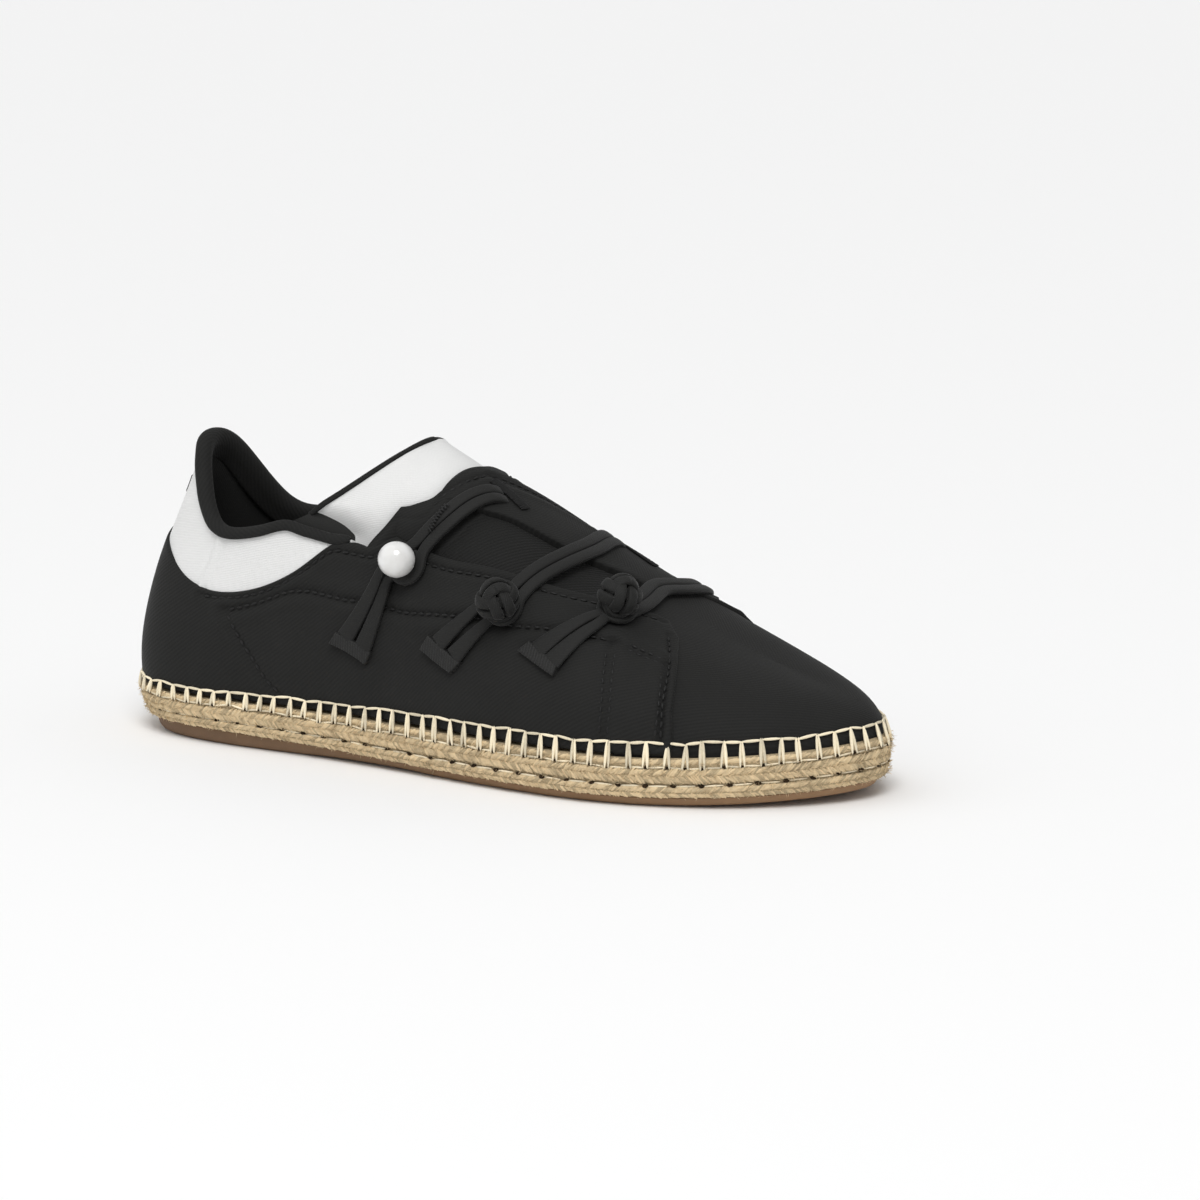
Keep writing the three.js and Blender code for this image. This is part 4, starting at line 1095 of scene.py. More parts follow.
def make_blanket_stitch():
    """The cream thread that whips the cloth to the jute, and the rows that sew the jute."""
    s, spacing = even_stations(WHIP_SPACING)
    rng = np.random.default_rng(5)
    s = s + rng.normal(0, 0.045, len(s)) * spacing / 17
    x = FOOT_X(s)
    up = 2.6 + 1.3 * fore_share(x) + rng.normal(0, 0.22, len(s))
    top, normal = cloth_point(s, up, np.full(len(s), 0.3))
    low = 13 - 1.1 * fore_share(x) + toe_lift(x) + rng.normal(0, 0.25, len(s))
    share = (low - jute_height(x, 0)) / (jute_height(x, 1) - jute_height(x, 0))
    foot = jute_point(s, share, 0.65)
    step = unit(np.roll(foot, -1, 0) - foot)
    foot = foot + step * rng.normal(0, 0.3, (len(s), 1))
    rows = []
    for side, twist in ((-0.75, -0.2), (0.6, 0.25)):
        ends = foot + step * side
        heads = top + step * twist
        span = heads - ends
        reach = np.linalg.norm(span, axis=1)
        rows.append({"points": (ends + heads) / 2 + normal * 0.25, "along": unit(span),
                     "outward": normal, "size": (1.14, 1.0, 0.9), "reach": reach,
                     "scatter": 0.06, "uneven": 0.14})
    for ends, lift, width, share_of_gap in ((top, 0.1, 0.9, 1.1), (foot, -0.25, 0.6, 0.86)):
        ahead = np.roll(ends, -1, 0)
        reach = np.linalg.norm(ahead - ends, axis=1)
        rows.append({"points": (ends + ahead) / 2 + normal * lift, "along": unit(ahead - ends),
                     "outward": normal, "size": (share_of_gap, width, width), "reach": reach,
                     "scatter": 0.1, "uneven": 0.12})
    run, run_spacing = even_stations(SEWN_SPACING)
    x = FOOT_X(run)
    z = 8.5 - 2.0 * fore_share(x) + toe_lift(x)
    share = (z - jute_height(x, 0)) / (jute_height(x, 1) - jute_height(x, 0))
    sewn = jute_point(run, share, 0.45)
    closed = np.concatenate([sewn[-1:], sewn, sewn[:1]])
    outward = np.stack([*foot_normal(run), 0 * run], -1)
    rows.append({"points": sewn, "along": unit(closed[2:] - closed[:-2]), "outward": outward,
                 "size": (run_spacing * 0.72, 0.6, 0.6), "scatter": 0.05, "uneven": 0.15})
    lay("blanket_stitch", rows, MATERIALS["thread"], "jute")
    x = FOOT_X(run + (run[1] - run[0]) / 2)
    between_points = jute_point(run + (run[1] - run[0]) / 2, share, 0.4)
    # Dark blobs between the running stitches and at the foot of each whip: painted shade where the
    # thread enters the jute.
    holes = [
        {"points": between_points, "along": unit(closed[2:] - closed[:-2]), "outward": outward,
         "size": (1.9, 1.1, 1.3), "scatter": 0.3, "uneven": 0.3},
        {"points": foot - normal * 0.15, "along": step, "outward": normal, "size": (1.3, 0.8, 1.0),
         "uneven": 0.3},
    ]
    lay("needle_holes", holes, MATERIALS["hole"], "jute")


def make_footbed():
    """The cloth-covered board inside."""
    def level(offset, height):
        return (lambda x: offset + 0 * x, lambda x: FEATHER + toe_lift(x) + height)

    levels = [level(-3.6, 0), level(-2.9, 0.7), level(-2.85, 1.8), level(-3.3, 2.7),
              level(-4.3, 3.05), level(-6, 3.1)]
    thing = sole_solid("footbed", levels, MATERIALS["lining"])
    return finish_piece(thing, "lining", "insole")


# Upper


# Soft folds of the quarters and the toe: line, depth and width in millimetres.
CREASES = [
    ([[6.6, -0.9], [7.4, -0.8], [8.3, -0.72]], 0.5, 4.5),
    ([[9.3, -0.9], [9.8, -0.78], [10.2, -0.66]], 0.45, 4.0),
    ([[5, -0.92], [5.4, -0.8], [5.6, -0.66]], 0.4, 5.0),
    ([[-5, -0.9], [-6.3, -0.8], [-7.8, -0.74]], 0.5, 5.0),
    ([[-8.6, -0.9], [-9.2, -0.78], [-9.6, -0.66]], 0.45, 4.0),
]
VAMP_CREASES = [
    ([[12.4, -0.15], [12.9, -0.05], [13.4, 0]], 0.25, 4.0),
    ([[12.9, -0.75], [13.3, -0.6], [13.5, -0.4]], 0.2, 5.0),
]


def quarter_relief(base, t, w, _q):
    """Troughs along the seams, and soft padding between them."""
    height = 0.22 * waves(base, 26, 2)
    for rows, depth, width in SEAMS.values():
        gap = near_line(base, rows)
        height -= 1.15 * depth * np.exp(-(gap / (0.8 * width)) ** 2)
        height += 0.55 * depth * np.exp(-((gap - 2.4 * width) / (1.3 * width)) ** 2)
    for rows, _side, _spacing, _length in STITCH_ROWS[:5]:
        gap = near_line(base, rows)
        height -= 0.6 * np.exp(-(gap / 0.8) ** 2)
        height += 0.2 * np.exp(-((gap - 2.2) / 1.2) ** 2)
    for rows, depth, width in CREASES:
        height -= depth * np.exp(-(near_line(base, rows) / width) ** 2)
    over_white = (np.abs(t) < 8.7) & (t + 3 * w < 8.7)
    lowest = -0.55 - 2 * smoothstep(-w, 0.54, 0.64)
    return np.where(over_white, np.maximum(height, lowest), height)


def make_quarters():
    base = np.stack([QUARTER_EDGE[:, 2], np.full(len(QUARTER_EDGE), -0.992)], -1)
    thing = panel("quarters", QUARTER_EDGE[:, :2], base, (560, 104), LAYER, MATERIALS["black"],
                  relief=quarter_relief, bow=FRONT_BOW)
    return finish_piece(thing, "black_cloth", "upper")


def band_height(t, w, _q=0):
    """The white cloth is level with the skin, and dips under the outer collar and the throat."""
    outer_band = (t < 0) & (w > 0)
    station = -t
    deep = TONGUE_DEEP + (TONGUE_DEPTH - TONGUE_DEEP) * smoothstep(station, 5.9, 6.7)
    order = BAND_EDGE[np.argsort(BAND_EDGE[:, 1])]
    front = np.interp(-w, order[:, 1], order[:, 0])
    collar = np.interp(-w, [-0.452, -0.36, -0.25, -0.11, -0.004], [6.38, 5.6, 4.97, 4.35, 3.9])
    ahead = smoothstep(front - station, 0.02, 0.2)
    behind = smoothstep(station - collar, 0.15, 0.8)
    return np.where(outer_band, -deep * (1 - ahead * behind), 0.0)


def white_relief(base, t, w, _q):
    height = 0.12 * waves(base, 18, 6)
    seam = near_line(base, [[2.42, -0.06], [2.36, -0.2], [2.28, -0.42]])
    height += 0.45 * np.exp(-(seam / 0.9) ** 2) - 0.3 * np.exp(-((seam - 2.2) / 1.1) ** 2)
    inner_seam = near_line(base, [[-2.42, -0.06], [-2.36, -0.2], [-2.28, -0.42]])
    height += 0.45 * np.exp(-(inner_seam / 0.9) ** 2)
    edge = near_line(base, BAND_EDGE[1:6])
    outer_band = (t < 0) & (w > 0)
    run = base @ np.array([0.55, -0.35, 0.3])
    height += np.where(outer_band, 0.2 * np.sin(run * 2.3) * np.exp(-(edge / 7) ** 2), 0)
    side = near_line(base, [[4.97, -0.3], [4.15, -0.33], [3.35, -0.36], [2.6, -0.38]])
    ripple = np.sin((base @ np.array([1.0, 0.1, 0.35])) * 2.2) * np.exp(-(side / 6) ** 2)
    return height + np.where(t > 0, 0.1 * ripple, 0)


def make_white():
    thing = panel("white_panels", WHITE_TOP, WHITE_LOW, (420, 90), band_height, MATERIALS["white"],
                  fold=0.5, skirt=1.6, relief=white_relief,
                  ease=lambda t, w: smoothstep(-t, 5.2, 6.2) * 0.9)
    return finish_piece(thing, "white_cloth", "tongue")


def make_throat():
    """The black edge of the throat beside the white band, with a soft fold along it."""
    def top(_t, _w, q):
        return 0.45 - 1.9 * smoothstep(q, 0.3, 0.75)

    def relief(base, _t, _w, q):
        edge = near_line(base, THROAT_STITCH)
        return 0.35 * np.exp(-((q - 0.22) / 0.12) ** 2) - 0.3 * np.exp(-(edge / 0.8) ** 2)

    thing = panel("throat_edge", THROAT_EDGE, THROAT_LOW, (170, 40), top, MATERIALS["black"],
                  fold=0.7, skirt=1.8, relief=relief)
    finish_piece(thing, "black_cloth")
    thing = panel("gusset", GUSSET_OUTER, GUSSET_INNER, (160, 50), -TONGUE_DEPTH + 1.7,
                  MATERIALS["gusset"], fold=0.4, skirt=0.8,
                  relief=lambda base, *_: 0.3 * waves(base, 14, 9))
    return finish_piece(thing, "black_cloth")


def vamp_relief(points):
    height = 0.18 * waves(points, 30, 3)
    for rows, depth, width in VAMP_CREASES:
        height -= depth * np.exp(-(near_line(points, rows) / width) ** 2)
    return height


def eased_toe(outer, inner, strength, steps):
    """Eases the toe's two halves as one sheet, joined at the ridge and above the tip."""
    strength = strength[..., None]
    for _ in range(steps):
        halves = []
        for half, other in ((outer, inner), (inner, outer)):
            ahead = np.concatenate([half[1:], other[-2:-1]])
            behind = np.concatenate([half[:1], half[:-1]])
            above = np.concatenate([half[:, 1:], other[:, -2:-1]], axis=1)
            below = np.concatenate([half[:, :1], half[:, :-1]], axis=1)
            halves.append(half + strength * ((ahead + behind + above + below) / 4 - half))
        outer, inner = halves
    return outer, inner


def make_vamp():
    """The toe: a sheet from under the quarters round the tip, closed along the ridge."""
    k = np.linspace(0, 1, 150)[:, None]
    v = np.linspace(-0.006, 1, 90)[None, :]
    sides = []
    for sign in (-1, 1):
        w = sign * (1 - v)
        rows = VAMP_BACK[np.argsort(VAMP_BACK[:, 1])]
        back = np.interp(w, rows[:, 1], rows[:, 0])
        t = back + (TOE - back) * k
        s = np.where(sign < 0, t, 2 * TOE - t)
        inside = np.clip(v, 0.0, 1.0) + 0 * s
        base = skin(s, inside + np.minimum(v, 0))
        normal = skin_normal(s, inside)
        surface = base + normal * (vamp_relief(base) * smoothstep(1 - v, 0, 0.1))[..., None]
        sides.append((surface, normal))
    strength = 0.9 * smoothstep(k, 0.06, 0.2) * smoothstep(v, 0.04, 0.2)
    outer, inner = eased_toe(sides[0][0], sides[1][0], strength, TOE_EASE)
    points = np.concatenate([outer, inner[::-1][1:]])
    normals = np.concatenate([sides[0][1], sides[1][1][::-1][1:]])
    faces = facing(points, grid_faces(*points.shape[:2]), normals)
    thing = make_object("vamp", points, faces, MATERIALS["black"], cloth_uv(points))
    tidy_mesh(thing, 0.00002, outwards=False)
    return finish_piece(thing, "black_cloth")


def make_lining():
    """The inside, a wall further in, and deeper under the tongue."""
    s = np.linspace(0, 2 * TOE, 360)[:, None]
    v = np.linspace(0, 1, 60)[None, :]
    t = station_of(s)
    under = smoothstep(t, 4.3, 6.2) * smoothstep(v, 0.3, 0.65)
    inner_collar = np.where(is_outer(s), 1.0, smoothstep(t, 6.0, 7.0))
    depth = WALL + 0.1 + 4.6 * under * inner_collar
    normal = skin_normal(s, v)
    points = skin(s, v) - normal * depth[..., None]
    uv = np.stack([10 * s + 0 * v, 60 * v + 0 * s], -1) / 100
    faces = facing(points, grid_faces(360, 60), -normal)
    return finish_piece(make_object("lining", points, faces, MATERIALS["lining"], uv), "lining")


def sweep(name, path, outward, section, material, widths=None, closed=False):
    """A solid along a path: section has (side, up) in millimetres, and widths scales its sides."""
    tangent = directions(path)
    if closed:
        ends = np.concatenate([path[-1:], path, path[:1]])
        tangent = unit(ends[2:] - ends[:-2])
    side = unit(np.cross(outward, tangent))
    up = unit(np.cross(tangent, side))
    wide = np.ones(len(path)) if widths is None else widths
    rings = (path[:, None, :] + side[:, None, :] * (section[None, :, 0] * wide[:, None])[..., None]
             + up[:, None, :] * section[None, :, 1][..., None])
    rows, count = rings.shape[:2]
    looped = np.concatenate([rings, rings[:, :1]], axis=1)
    run = lengths(path)
    around = lengths(np.concatenate([section, section[:1]]))
    uv = np.stack([run[:, None] + 0 * around, around + 0 * run[:, None]], -1) / 100
    faces = grid_faces(rows, count + 1, closed).tolist()
    if not closed:
        faces.append([*range(count)][::-1])
        last = (rows - 1) * (count + 1)
        faces.append([*range(last, last + count)])
    thing = make_object(name, looped, faces, material, uv)
    tidy_mesh(thing)
    return thing


def rounded(width, height, count=20, square=0.65):
    """A flattened round section that stands on its base."""
    angle = np.linspace(0, 2 * np.pi, count, endpoint=False)
    c, s = np.cos(angle), np.sin(angle)
    return np.stack([np.sign(c) * np.abs(c) ** square * width / 2,
                     np.sign(s) * np.abs(s) ** square * height / 2 + height / 2], -1)


def collar_path(spacing):
    """The mouth's edge from the corner of the outer collar round the heel to the inner seam."""
    rows = np.concatenate([WHITE_TOP[:4], [[t, -0.004] for t in np.arange(3.4, -5.5, -0.5)]])
    return even(rows, spacing)


def make_binding():
    """The padded edge of the collar, rolled over the rim."""
    points, normal = collar_path(0.9)
    tangent = directions(points)
    down = unit(np.cross(tangent, normal))
    down = np.where((down[:, 2] > 0)[:, None], -down, down)
    profile = np.array([
        [1.7, 0.1], [2.0, 0.7], [1.7, 1.3], [1.0, 1.65], [0.1, 1.6], [-0.7, 1.2], [-1.3, 0.4],
        [-1.6, -0.7], [-1.5, -1.9], [-0.9, -3.0], [0.5, -3.7], [2.6, -3.8], [4.8, -3.3],
        [7.5, -2.6], [8, -2.1],
    ])
    smooth = catmull(profile, np.linspace(0, 1, 44))
    tip = np.clip(lengths(points) / 3.0, 0, 1) ** 0.5
    scale = (0.35 + 0.65 * tip)[:, None, None]
    shape = smooth[None] * scale
    short = 0.25 + 0.75 * smoothstep(lengths(points), 8, 34)[:, None]
    shape[..., 0] = np.where(shape[..., 1] < 0, shape[..., 0] * short, shape[..., 0])
    surface = points[:, None] + down[:, None] * shape[..., :1] + normal[:, None] * shape[..., 1:]
    puff = 0.12 * waves(surface, 9, 12)
    surface = surface + normal[:, None] * puff[..., None]
    rows, count = surface.shape[:2]
    run = lengths(points)
    uv = np.stack([run[:, None] + 0 * smooth[None, :, 0], lengths(smooth)[None] + 0 * run[:, None]],
                  -1) / 100
    outward = normal[:, None] * np.sign(smooth[None, :, 1:] + 1.2) + 0 * surface
    faces = facing(surface, grid_faces(rows, count), outward)
    thing = make_object("collar_roll", surface, faces, MATERIALS["black"], uv)
    return finish_piece(thing, "black_cloth", "collar_binding")


def make_trim():
    """The thin black edge along the top of the white cloth over the crest."""
    rows = WHITE_TOP[12:]
    fine = catmull(rows, np.linspace(0, 1, 260))
    share = np.linspace(0, 1, 260)
    height = band_height(fine[:, 0], fine[:, 1]) - 1.1 + 0.75 * smoothstep(share, 0.3, 0.6)
    points, normal = place(fine[:, 0], fine[:, 1], height)
    section = rounded(1.7, 1.2, 14)
    thing = sweep("crest_trim", points, normal, section, MATERIALS["black"])
    return finish_piece(thing, "black_cloth")


def make_seam_stitches():
    rows = []
    for line, side, spacing, length in STITCH_ROWS:
        points, normal = even(line, spacing, LAYER - 0.12)
        along = directions(points)
        points = points + np.cross(normal, along) * side
        rows.append({"points": points[1:-1], "along": along[1:-1], "outward": normal[1:-1],
                     "size": (length, 0.75, 0.6), "scatter": 0.12})
    lay("seam_stitches", rows, MATERIALS["dark_thread"], "black_cloth")


# Closures

SURFACE = LAYER + 0.35
CORD_WIDTH = 3.7
CORD_THICK = 1.9
KNOT_REACH = 6.4


def button_frame(name):
    """The foot of a button, the skin's normal, and the direction to its cord."""
    t, w = BUTTONS[name]
    foot, normal = place(np.array([t]), np.array([w]), np.array([SURFACE]))
    last = LOOPS[name][-1]
    ahead, _ = place(np.array([last[0]]), np.array([last[1]]), np.array([SURFACE]))
    toward = ahead[0] - foot[0]
    toward = unit(toward - normal[0] * (toward @ normal[0]))
    return foot[0], normal[0], toward


def cord_path(name):
    """One cord out to the button, round its foot and back beside itself."""
    rows = np.array(LOOPS[name])
    fine = catmull(rows, np.linspace(0, 1, 60))
    height = np.full(60, SURFACE)
    height[:6] = SURFACE - np.linspace(1.6, 0, 6)
    points, normal = place(fine[:, 0], fine[:, 1], height)
    for _ in range(24):
        points[1:-1] = (points[:-2] + 2 * points[1:-1] + points[2:]) / 4
        normal[1:-1] = unit(normal[:-2] + 2 * normal[1:-1] + normal[2:])
    side = unit(np.cross(normal, directions(points)))
    gap = np.full((60, 1), CORD_WIDTH / 2 + 0.1)
    foot, out, toward = button_frame(name)
    across = np.cross(out, toward)
    if across @ side[-1] < 0:
        across = -across
    radius = 4.7 if name == "loop_top" else 4.2
    turn = np.linspace(0.55, 2 * np.pi - 0.55, 40)[:, None]
    arc = foot + radius * (np.cos(turn) * toward + np.sin(turn) * across) + out * 0.2
    path = np.concatenate([points + side * gap, arc, (points - side * gap)[::-1]])
    outward = np.concatenate([normal, np.repeat(out[None], 40, 0), normal[::-1]])
    for _ in range(6):
        path[1:-1] = (path[:-2] + 2 * path[1:-1] + path[2:]) / 4
        outward[1:-1] = unit(outward[:-2] + 2 * outward[1:-1] + outward[2:])
    return path, outward


def make_loops():
    for name in LOOPS:
        path, outward = cord_path(name)
        section = rounded(CORD_WIDTH, CORD_THICK)
        thing = sweep(name + "_cord", path, outward, section, MATERIALS["cord"])
        finish_piece(thing, "cord", name)


def make_tails():
    """The two ends of each cord, flat and spread from under the button to the tab."""
    for name, loop in (("tails_top", "loop_top"), ("tails_middle", "loop_middle"),
                       ("tails_front", "loop_front")):
        left, right, end_left, end_right = (np.array(c) for c in TAILS[name])
        foot = np.array(BUTTONS[loop])
        made = []
        for share in (0.24, 0.76):
            near = left + (right - left) * share
            far = end_left + (end_right - end_left) * share
            start = near + (foot - near) * 0.6
            beyond = far + (far - near) * 0.12
            rows = np.array([start, near, (near * 2 + far) / 3, (near + far * 2) / 3, far, beyond])
            fine = catmull(rows, np.linspace(0, 1, 50))
            height = SURFACE + 0.8 * np.linspace(1, 0, 50) ** 2
            points, normal = place(fine[:, 0], fine[:, 1], height)
            run = lengths(points) / lengths(points)[-1]
            widths = 0.55 + 0.6 * run ** 1.3
            made.append(sweep(name + "_ends", points, normal, rounded(5.2, 1.5, 18),
                              MATERIALS["cord"], widths))
        finish_piece(join(made), "cord", name)


def join(things):
    """Puts the meshes of several objects into the first, and gives it back."""
    work = bmesh.new()
    for thing in things:
        work.from_mesh(thing.data)
    work.to_mesh(things[0].data)
    work.free()
    for thing in things[1:]:
        bpy.data.objects.remove(thing)
    return things[0]


def make_tabs():
    for name, corners in TABS.items():
        a, b, c, d = (np.array(corner) for corner in corners)
        top = np.array([a, (a + b) / 2, b])
        low = np.array([c, (c + d) / 2, d])

        def lip(_base, _t, _w, q):
            return 0.5 * np.exp(-(q / 0.14) ** 2)

        thing = panel(name + "_ribbon", top, low, (60, 22), SURFACE + 1.4, MATERIALS["ribbon"],
                      fold=0.5, skirt=1.7, relief=lip)
        finish_piece(thing, "ribbon", name)


def make_knots():
    """Each knotted button: three pairs of flat strands that pass over and under one another."""
    for name, node in (("loop_middle", "knot_middle"), ("loop_front", "knot_front")):
        foot, out, toward = button_frame(name)
        centre = foot + out * (KNOT_REACH + 0.1)
        across = np.cross(out, toward)
        base = np.stack([toward, across, out])
        tilt = np.array(Matrix.Rotation(0.35, 3, "X") @ Matrix.Rotation(-0.3, 3, "Y")
                        @ Matrix.Rotation(0.5, 3, "Z"))
        axes = tilt @ base
        made = []
        for k in range(3):
            high, low, axis = axes[(k + 2) % 3], axes[k], axes[(k + 1) % 3]
            for side in (-1, 1):
                angle = np.linspace(0, 2 * np.pi, 72, endpoint=False)[:, None]
                reach = KNOT_REACH - 2.45 + 0.85 * np.cos(2 * angle)
                ray = np.cos(angle) * high + np.sin(angle) * low
                wander = side * (1.6 + 0.12 * np.cos(2 * angle)) + 0.35 * np.sin(2 * angle)
                outward = unit(ray * reach + axis * wander)
                path = centre + ray * reach + axis * wander
                made.append(sweep(node + "_strands", path, outward, rounded(3.3, 1.7, 16, 0.7),
                                  MATERIALS["cord"], closed=True))
        finish_piece(join(made), "cord", node)


def make_seat():
    """The coil of cord under the pearl, and the small tab on the back of the heel."""
    foot, out, toward = button_frame("loop_top")
    across = np.cross(out, toward)
    angle = np.linspace(0, 4.6 * np.pi, 130)[:, None]
    reach = 0.6 + 4.1 * angle / angle[-1]
    path = foot - across * 0.5 + reach * (np.cos(angle) * toward + np.sin(angle) * across)
    outward = np.repeat(out[None], len(path), 0)
    thing = sweep("pearl_coil", path, outward, rounded(1.9, 1.3, 12), MATERIALS["cord"])
    finish_piece(thing, "cord", "pearl_seat")
    top = [[0.33, -0.2], [0, -0.2], [-0.33, -0.2]]
    low = [[0.33, -0.275], [0, -0.275], [-0.33, -0.275]]
    thing = panel("heel_tab", top, low, (50, 22), 0.9, MATERIALS["ribbon"], fold=0.5, skirt=1.6,
                  relief=lambda *at: 0.2 * np.cos(at[-1] * 6.3))
    finish_piece(thing, "ribbon", "back_tab")


def make_pearl():
    foot, out, _ = button_frame("loop_top")
    mesh = bpy.data.meshes.new("pearl_ball")
    work = bmesh.new()
    bmesh.ops.create_uvsphere(work, u_segments=64, v_segments=40, radius=5.6 * MILLIMETRE)
    centre = (foot + out * (1.35 + 5.6) - ORIGIN) * MILLIMETRE
    turn = Vector((0, 0, 1)).rotation_difference(Vector(out)).to_matrix().to_4x4()
    squash = Matrix.Diagonal((1, 0.97, 0.98, 1))
    bmesh.ops.transform(work, matrix=Matrix.Translation(centre) @ turn @ squash, verts=work.verts)
    work.to_mesh(mesh)
    work.free()
    mesh.polygons.foreach_set("use_smooth", [True] * len(mesh.polygons))
    mesh.materials.append(MATERIALS["pearl"])
    thing = bpy.data.objects.new("pearl_ball", mesh)
    bpy.context.scene.collection.objects.link(thing)
    finish_piece(thing, "pearl", "pearl")


def make_bars():
    """Dense bars of thread beside the slits and across the top cords."""
    rows = []
    for line in SLITS.values():
        points, normal = even(line, 0.3, LAYER + 0.45)
        along = directions(points)
        rows.append({"points": points, "along": np.cross(normal, along), "outward": normal,
                     "size": (4, 0.5, 0.9), "scatter": 0.08})
    across, normal = even([[8.03, -0.31], [7.94, -0.345], [7.84, -0.41]], 0.5, SURFACE + 2.5)
    along = directions(across)
    zigzag = np.where(np.arange(len(across)) % 2, 0.6, -0.6)
    lean = np.cross(normal, along) + along * zigzag[:, None]
    rows.append({"points": across, "along": unit(lean), "outward": normal,
                 "size": (2.2, 0.5, 0.5)})
    lay("bar_tacks", rows, MATERIALS["dark_thread"], "black_cloth")


# Settings, operators and panel


def colour_property(name, description, value):
    return bpy.props.FloatVectorProperty(name=name, description=description, default=linear(value),
                                         subtype="COLOR", size=3, min=0, max=1)


class ShoeColours(bpy.types.PropertyGroup):
    """Colours of the shoe."""

    black_cloth: colour_property("Black cloth", "Quarters, toe, binding and cords", (30, 30, 29))
    white_cloth: colour_property("White cloth", "Collar panels and tongue", (222, 222, 221))
    lining: colour_property("Lining", "Inside of the shoe", (42, 42, 41))
    jute: colour_property("Jute", "Braid of the sole", (222, 200, 162))
    thread: colour_property("Thread", "Whipping of the sole", (240, 228, 200))
    rubber: colour_property("Rubber", "Outsole at the heel", (120, 95, 73))
    rubber_toe: colour_property("Rubber at the toe", "Outsole at the toe", (158, 126, 95))


class ShoeStage(bpy.types.PropertyGroup):
    """Camera and light."""

    azimuth: bpy.props.FloatProperty(name="Azimuth", description="Camera angle round the shoe",
                                     default=math.radians(30), subtype="ANGLE")
    elevation: bpy.props.FloatProperty(name="Elevation", description="Camera angle above the floor",
                                       default=math.radians(10.47), subtype="ANGLE")
    distance: bpy.props.FloatProperty(name="Distance", description="Camera to the shoe",
                                      default=1.5, unit="LENGTH")
    lens: bpy.props.FloatProperty(name="Lens", description="Focal length in millimetres",
                                  default=149.4)
    shift_x: bpy.props.FloatProperty(name="Shift right", default=0.0777,
                                     description="Shift of the lens, as a share of the width")
    shift_y: bpy.props.FloatProperty(name="Shift up", default=0.00825,
                                     description="Shift of the lens, as a share of the width")
    light: bpy.props.FloatProperty(name="Light", description="Strength of all the lights",
                                   default=1.0, min=0)


class ShoeOperator:
    """What every operator of the shoe shares."""

    bl_options = {"REGISTER", "UNDO"}


class SHOE_OT_materials(ShoeOperator, bpy.types.Operator):
    """Make the cloth, jute, thread, rubber and pearl finishes"""

    bl_idname = "shoe.materials"
    bl_label = "Materials"

    def execute(self, context):
        make_materials(context.scene.shoe_colours)
        return {"FINISHED"}


class SHOE_OT_sole(ShoeOperator, bpy.types.Operator):
    """Build the rubber outsole and the braided jute with its stitching"""

    bl_idname = "shoe.sole"
    bl_label = "Sole"

    def execute(self, context):
        make_outsole()
        make_jute()
        make_braid()
        make_fuzz()
        make_blanket_stitch()
        make_footbed()
        return {"FINISHED"}


class SHOE_OT_upper(ShoeOperator, bpy.types.Operator):
    """Build the cloth panels, the lining and the seams"""

    bl_idname = "shoe.upper"
    bl_label = "Upper"

    def execute(self, context):
        make_quarters()
        make_white()
        make_throat()
        make_vamp()
        make_lining()
        make_binding()
        make_trim()
        make_seam_stitches()
        return {"FINISHED"}


class SHOE_OT_closures(ShoeOperator, bpy.types.Operator):
    """Build the cords, knots, tabs and the pearl"""

    bl_idname = "shoe.closures"
    bl_label = "Closures"

    def execute(self, context):
        make_loops()
        make_tails()
        make_tabs()
        make_knots()
        make_seat()
        make_pearl()
        make_bars()
        return {"FINISHED"}


class SHOE_OT_stage(ShoeOperator, bpy.types.Operator):
    """Set the floor, the lights and the camera"""

    bl_idname = "shoe.stage"
    bl_label = "Stage"

    def execute(self, context):
        make_stage(context.scene, context.scene.shoe_stage)
        return {"FINISHED"}


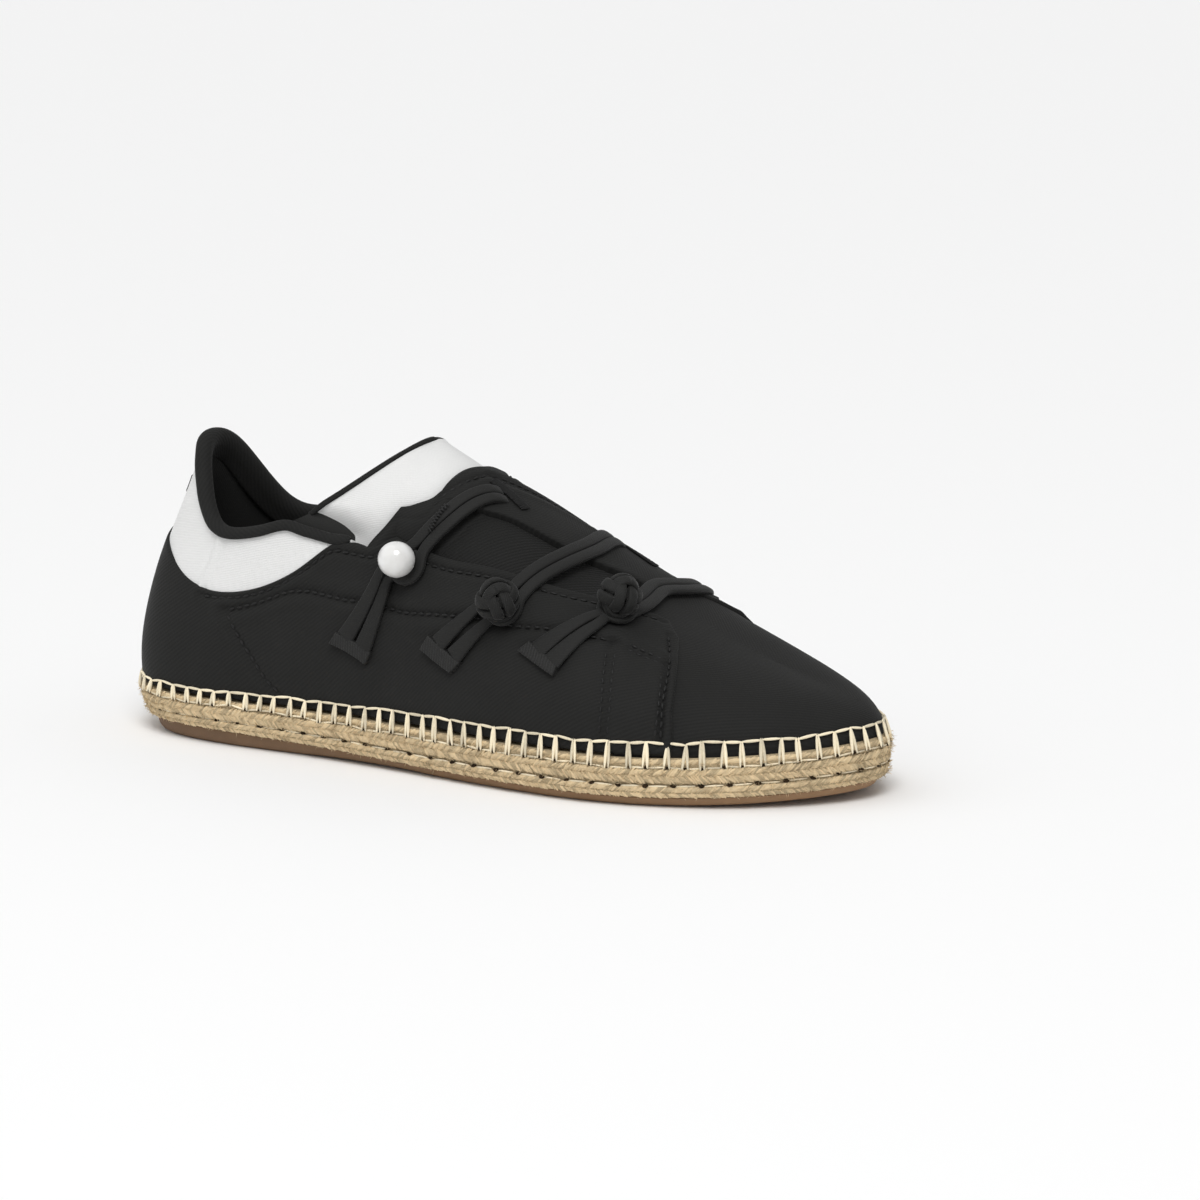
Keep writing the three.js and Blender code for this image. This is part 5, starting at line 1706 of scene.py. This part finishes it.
def make_stage(scene, settings):
    mesh = bpy.data.meshes.new("floor")
    reach = 6.0
    corners = [(-reach, -reach, 0), (reach, -reach, 0), (reach, reach, 0), (-reach, reach, 0)]
    mesh.from_pydata(corners, [], [(0, 1, 2, 3)])
    floor = bpy.data.objects.new("floor", mesh)
    scene.collection.objects.link(floor)
    pale = (0.95, 0.95, 0.95, 1)
    paint, _, _ = new_material("Pale floor", {"Base Color": pale, "Roughness": 0.9})
    mesh.materials.append(paint)
    world = bpy.data.worlds.new("Studio")
    scene.world = world
    world.use_nodes = True
    world.node_tree.nodes["Background"].inputs["Color"].default_value = (1, 1, 1, 1)
    world.node_tree.nodes["Background"].inputs["Strength"].default_value = 0.46 * settings.light
    for name, toward, power, spread in (("key", (-0.35, 0.6, -1.0), 1.45, 30),
                                        ("fill", (0.8, 0.4, -1.0), 0.55, 70)):
        light = bpy.data.lights.new(name, "SUN")
        light.energy = power * settings.light
        light.angle = math.radians(spread)
        lamp = bpy.data.objects.new(name, light)
        lamp.rotation_euler = Vector(toward).to_track_quat("-Z", "Y").to_euler()
        scene.collection.objects.link(lamp)
    window = bpy.data.lights.new("window", "AREA")
    window.energy = 1.4 * settings.light
    window.size = 0.4
    lamp = bpy.data.objects.new("window", window)
    lamp.location = (0.3, -0.8, 1.0)
    lamp.rotation_euler = (-lamp.location).to_track_quat("-Z", "Y").to_euler()
    scene.collection.objects.link(lamp)
    camera = bpy.data.objects.new("camera", bpy.data.cameras.new("camera"))
    camera.data.lens = settings.lens
    camera.data.sensor_width = 36
    camera.data.clip_end = 20
    a, e = settings.azimuth, settings.elevation
    back = Vector((math.sin(a) * math.cos(e), -math.cos(a) * math.cos(e), math.sin(e)))
    target = Vector(((np.array([125, 0, 45]) - ORIGIN) * MILLIMETRE).tolist())
    camera.location = target + back * settings.distance
    camera.rotation_euler = (target - camera.location).to_track_quat("-Z", "Y").to_euler()
    camera.data.shift_x = settings.shift_x
    camera.data.shift_y = settings.shift_y
    scene.collection.objects.link(camera)
    scene.camera = camera
    scene.view_settings.view_transform = "Standard"


class SHOE_PT_panel(bpy.types.Panel):
    """The shoe's settings and its operators."""

    bl_label = "Jute slip-on"
    bl_space_type = "VIEW_3D"
    bl_region_type = "UI"
    bl_category = "Shoe"

    def draw(self, context):
        for settings in (context.scene.shoe_colours, context.scene.shoe_stage):
            for name in settings.__annotations__:
                self.layout.prop(settings, name)
        for operator in OPERATORS:
            self.layout.operator(operator.bl_idname)


OPERATORS = (SHOE_OT_stage, SHOE_OT_materials, SHOE_OT_sole, SHOE_OT_upper, SHOE_OT_closures)
CLASSES = (ShoeColours, ShoeStage, *OPERATORS, SHOE_PT_panel)


def register():
    for cls in CLASSES:
        bpy.utils.register_class(cls)
    bpy.types.Scene.shoe_colours = bpy.props.PointerProperty(type=ShoeColours)
    bpy.types.Scene.shoe_stage = bpy.props.PointerProperty(type=ShoeStage)


def unregister():
    del bpy.types.Scene.shoe_stage
    del bpy.types.Scene.shoe_colours
    for cls in reversed(CLASSES):
        bpy.utils.unregister_class(cls)


def main():
    register()
    bpy.ops.shoe.stage()
    bpy.ops.shoe.materials()
    bpy.ops.shoe.sole()
    bpy.ops.shoe.upper()
    bpy.ops.shoe.closures()


if __name__ == "__main__":
    main()
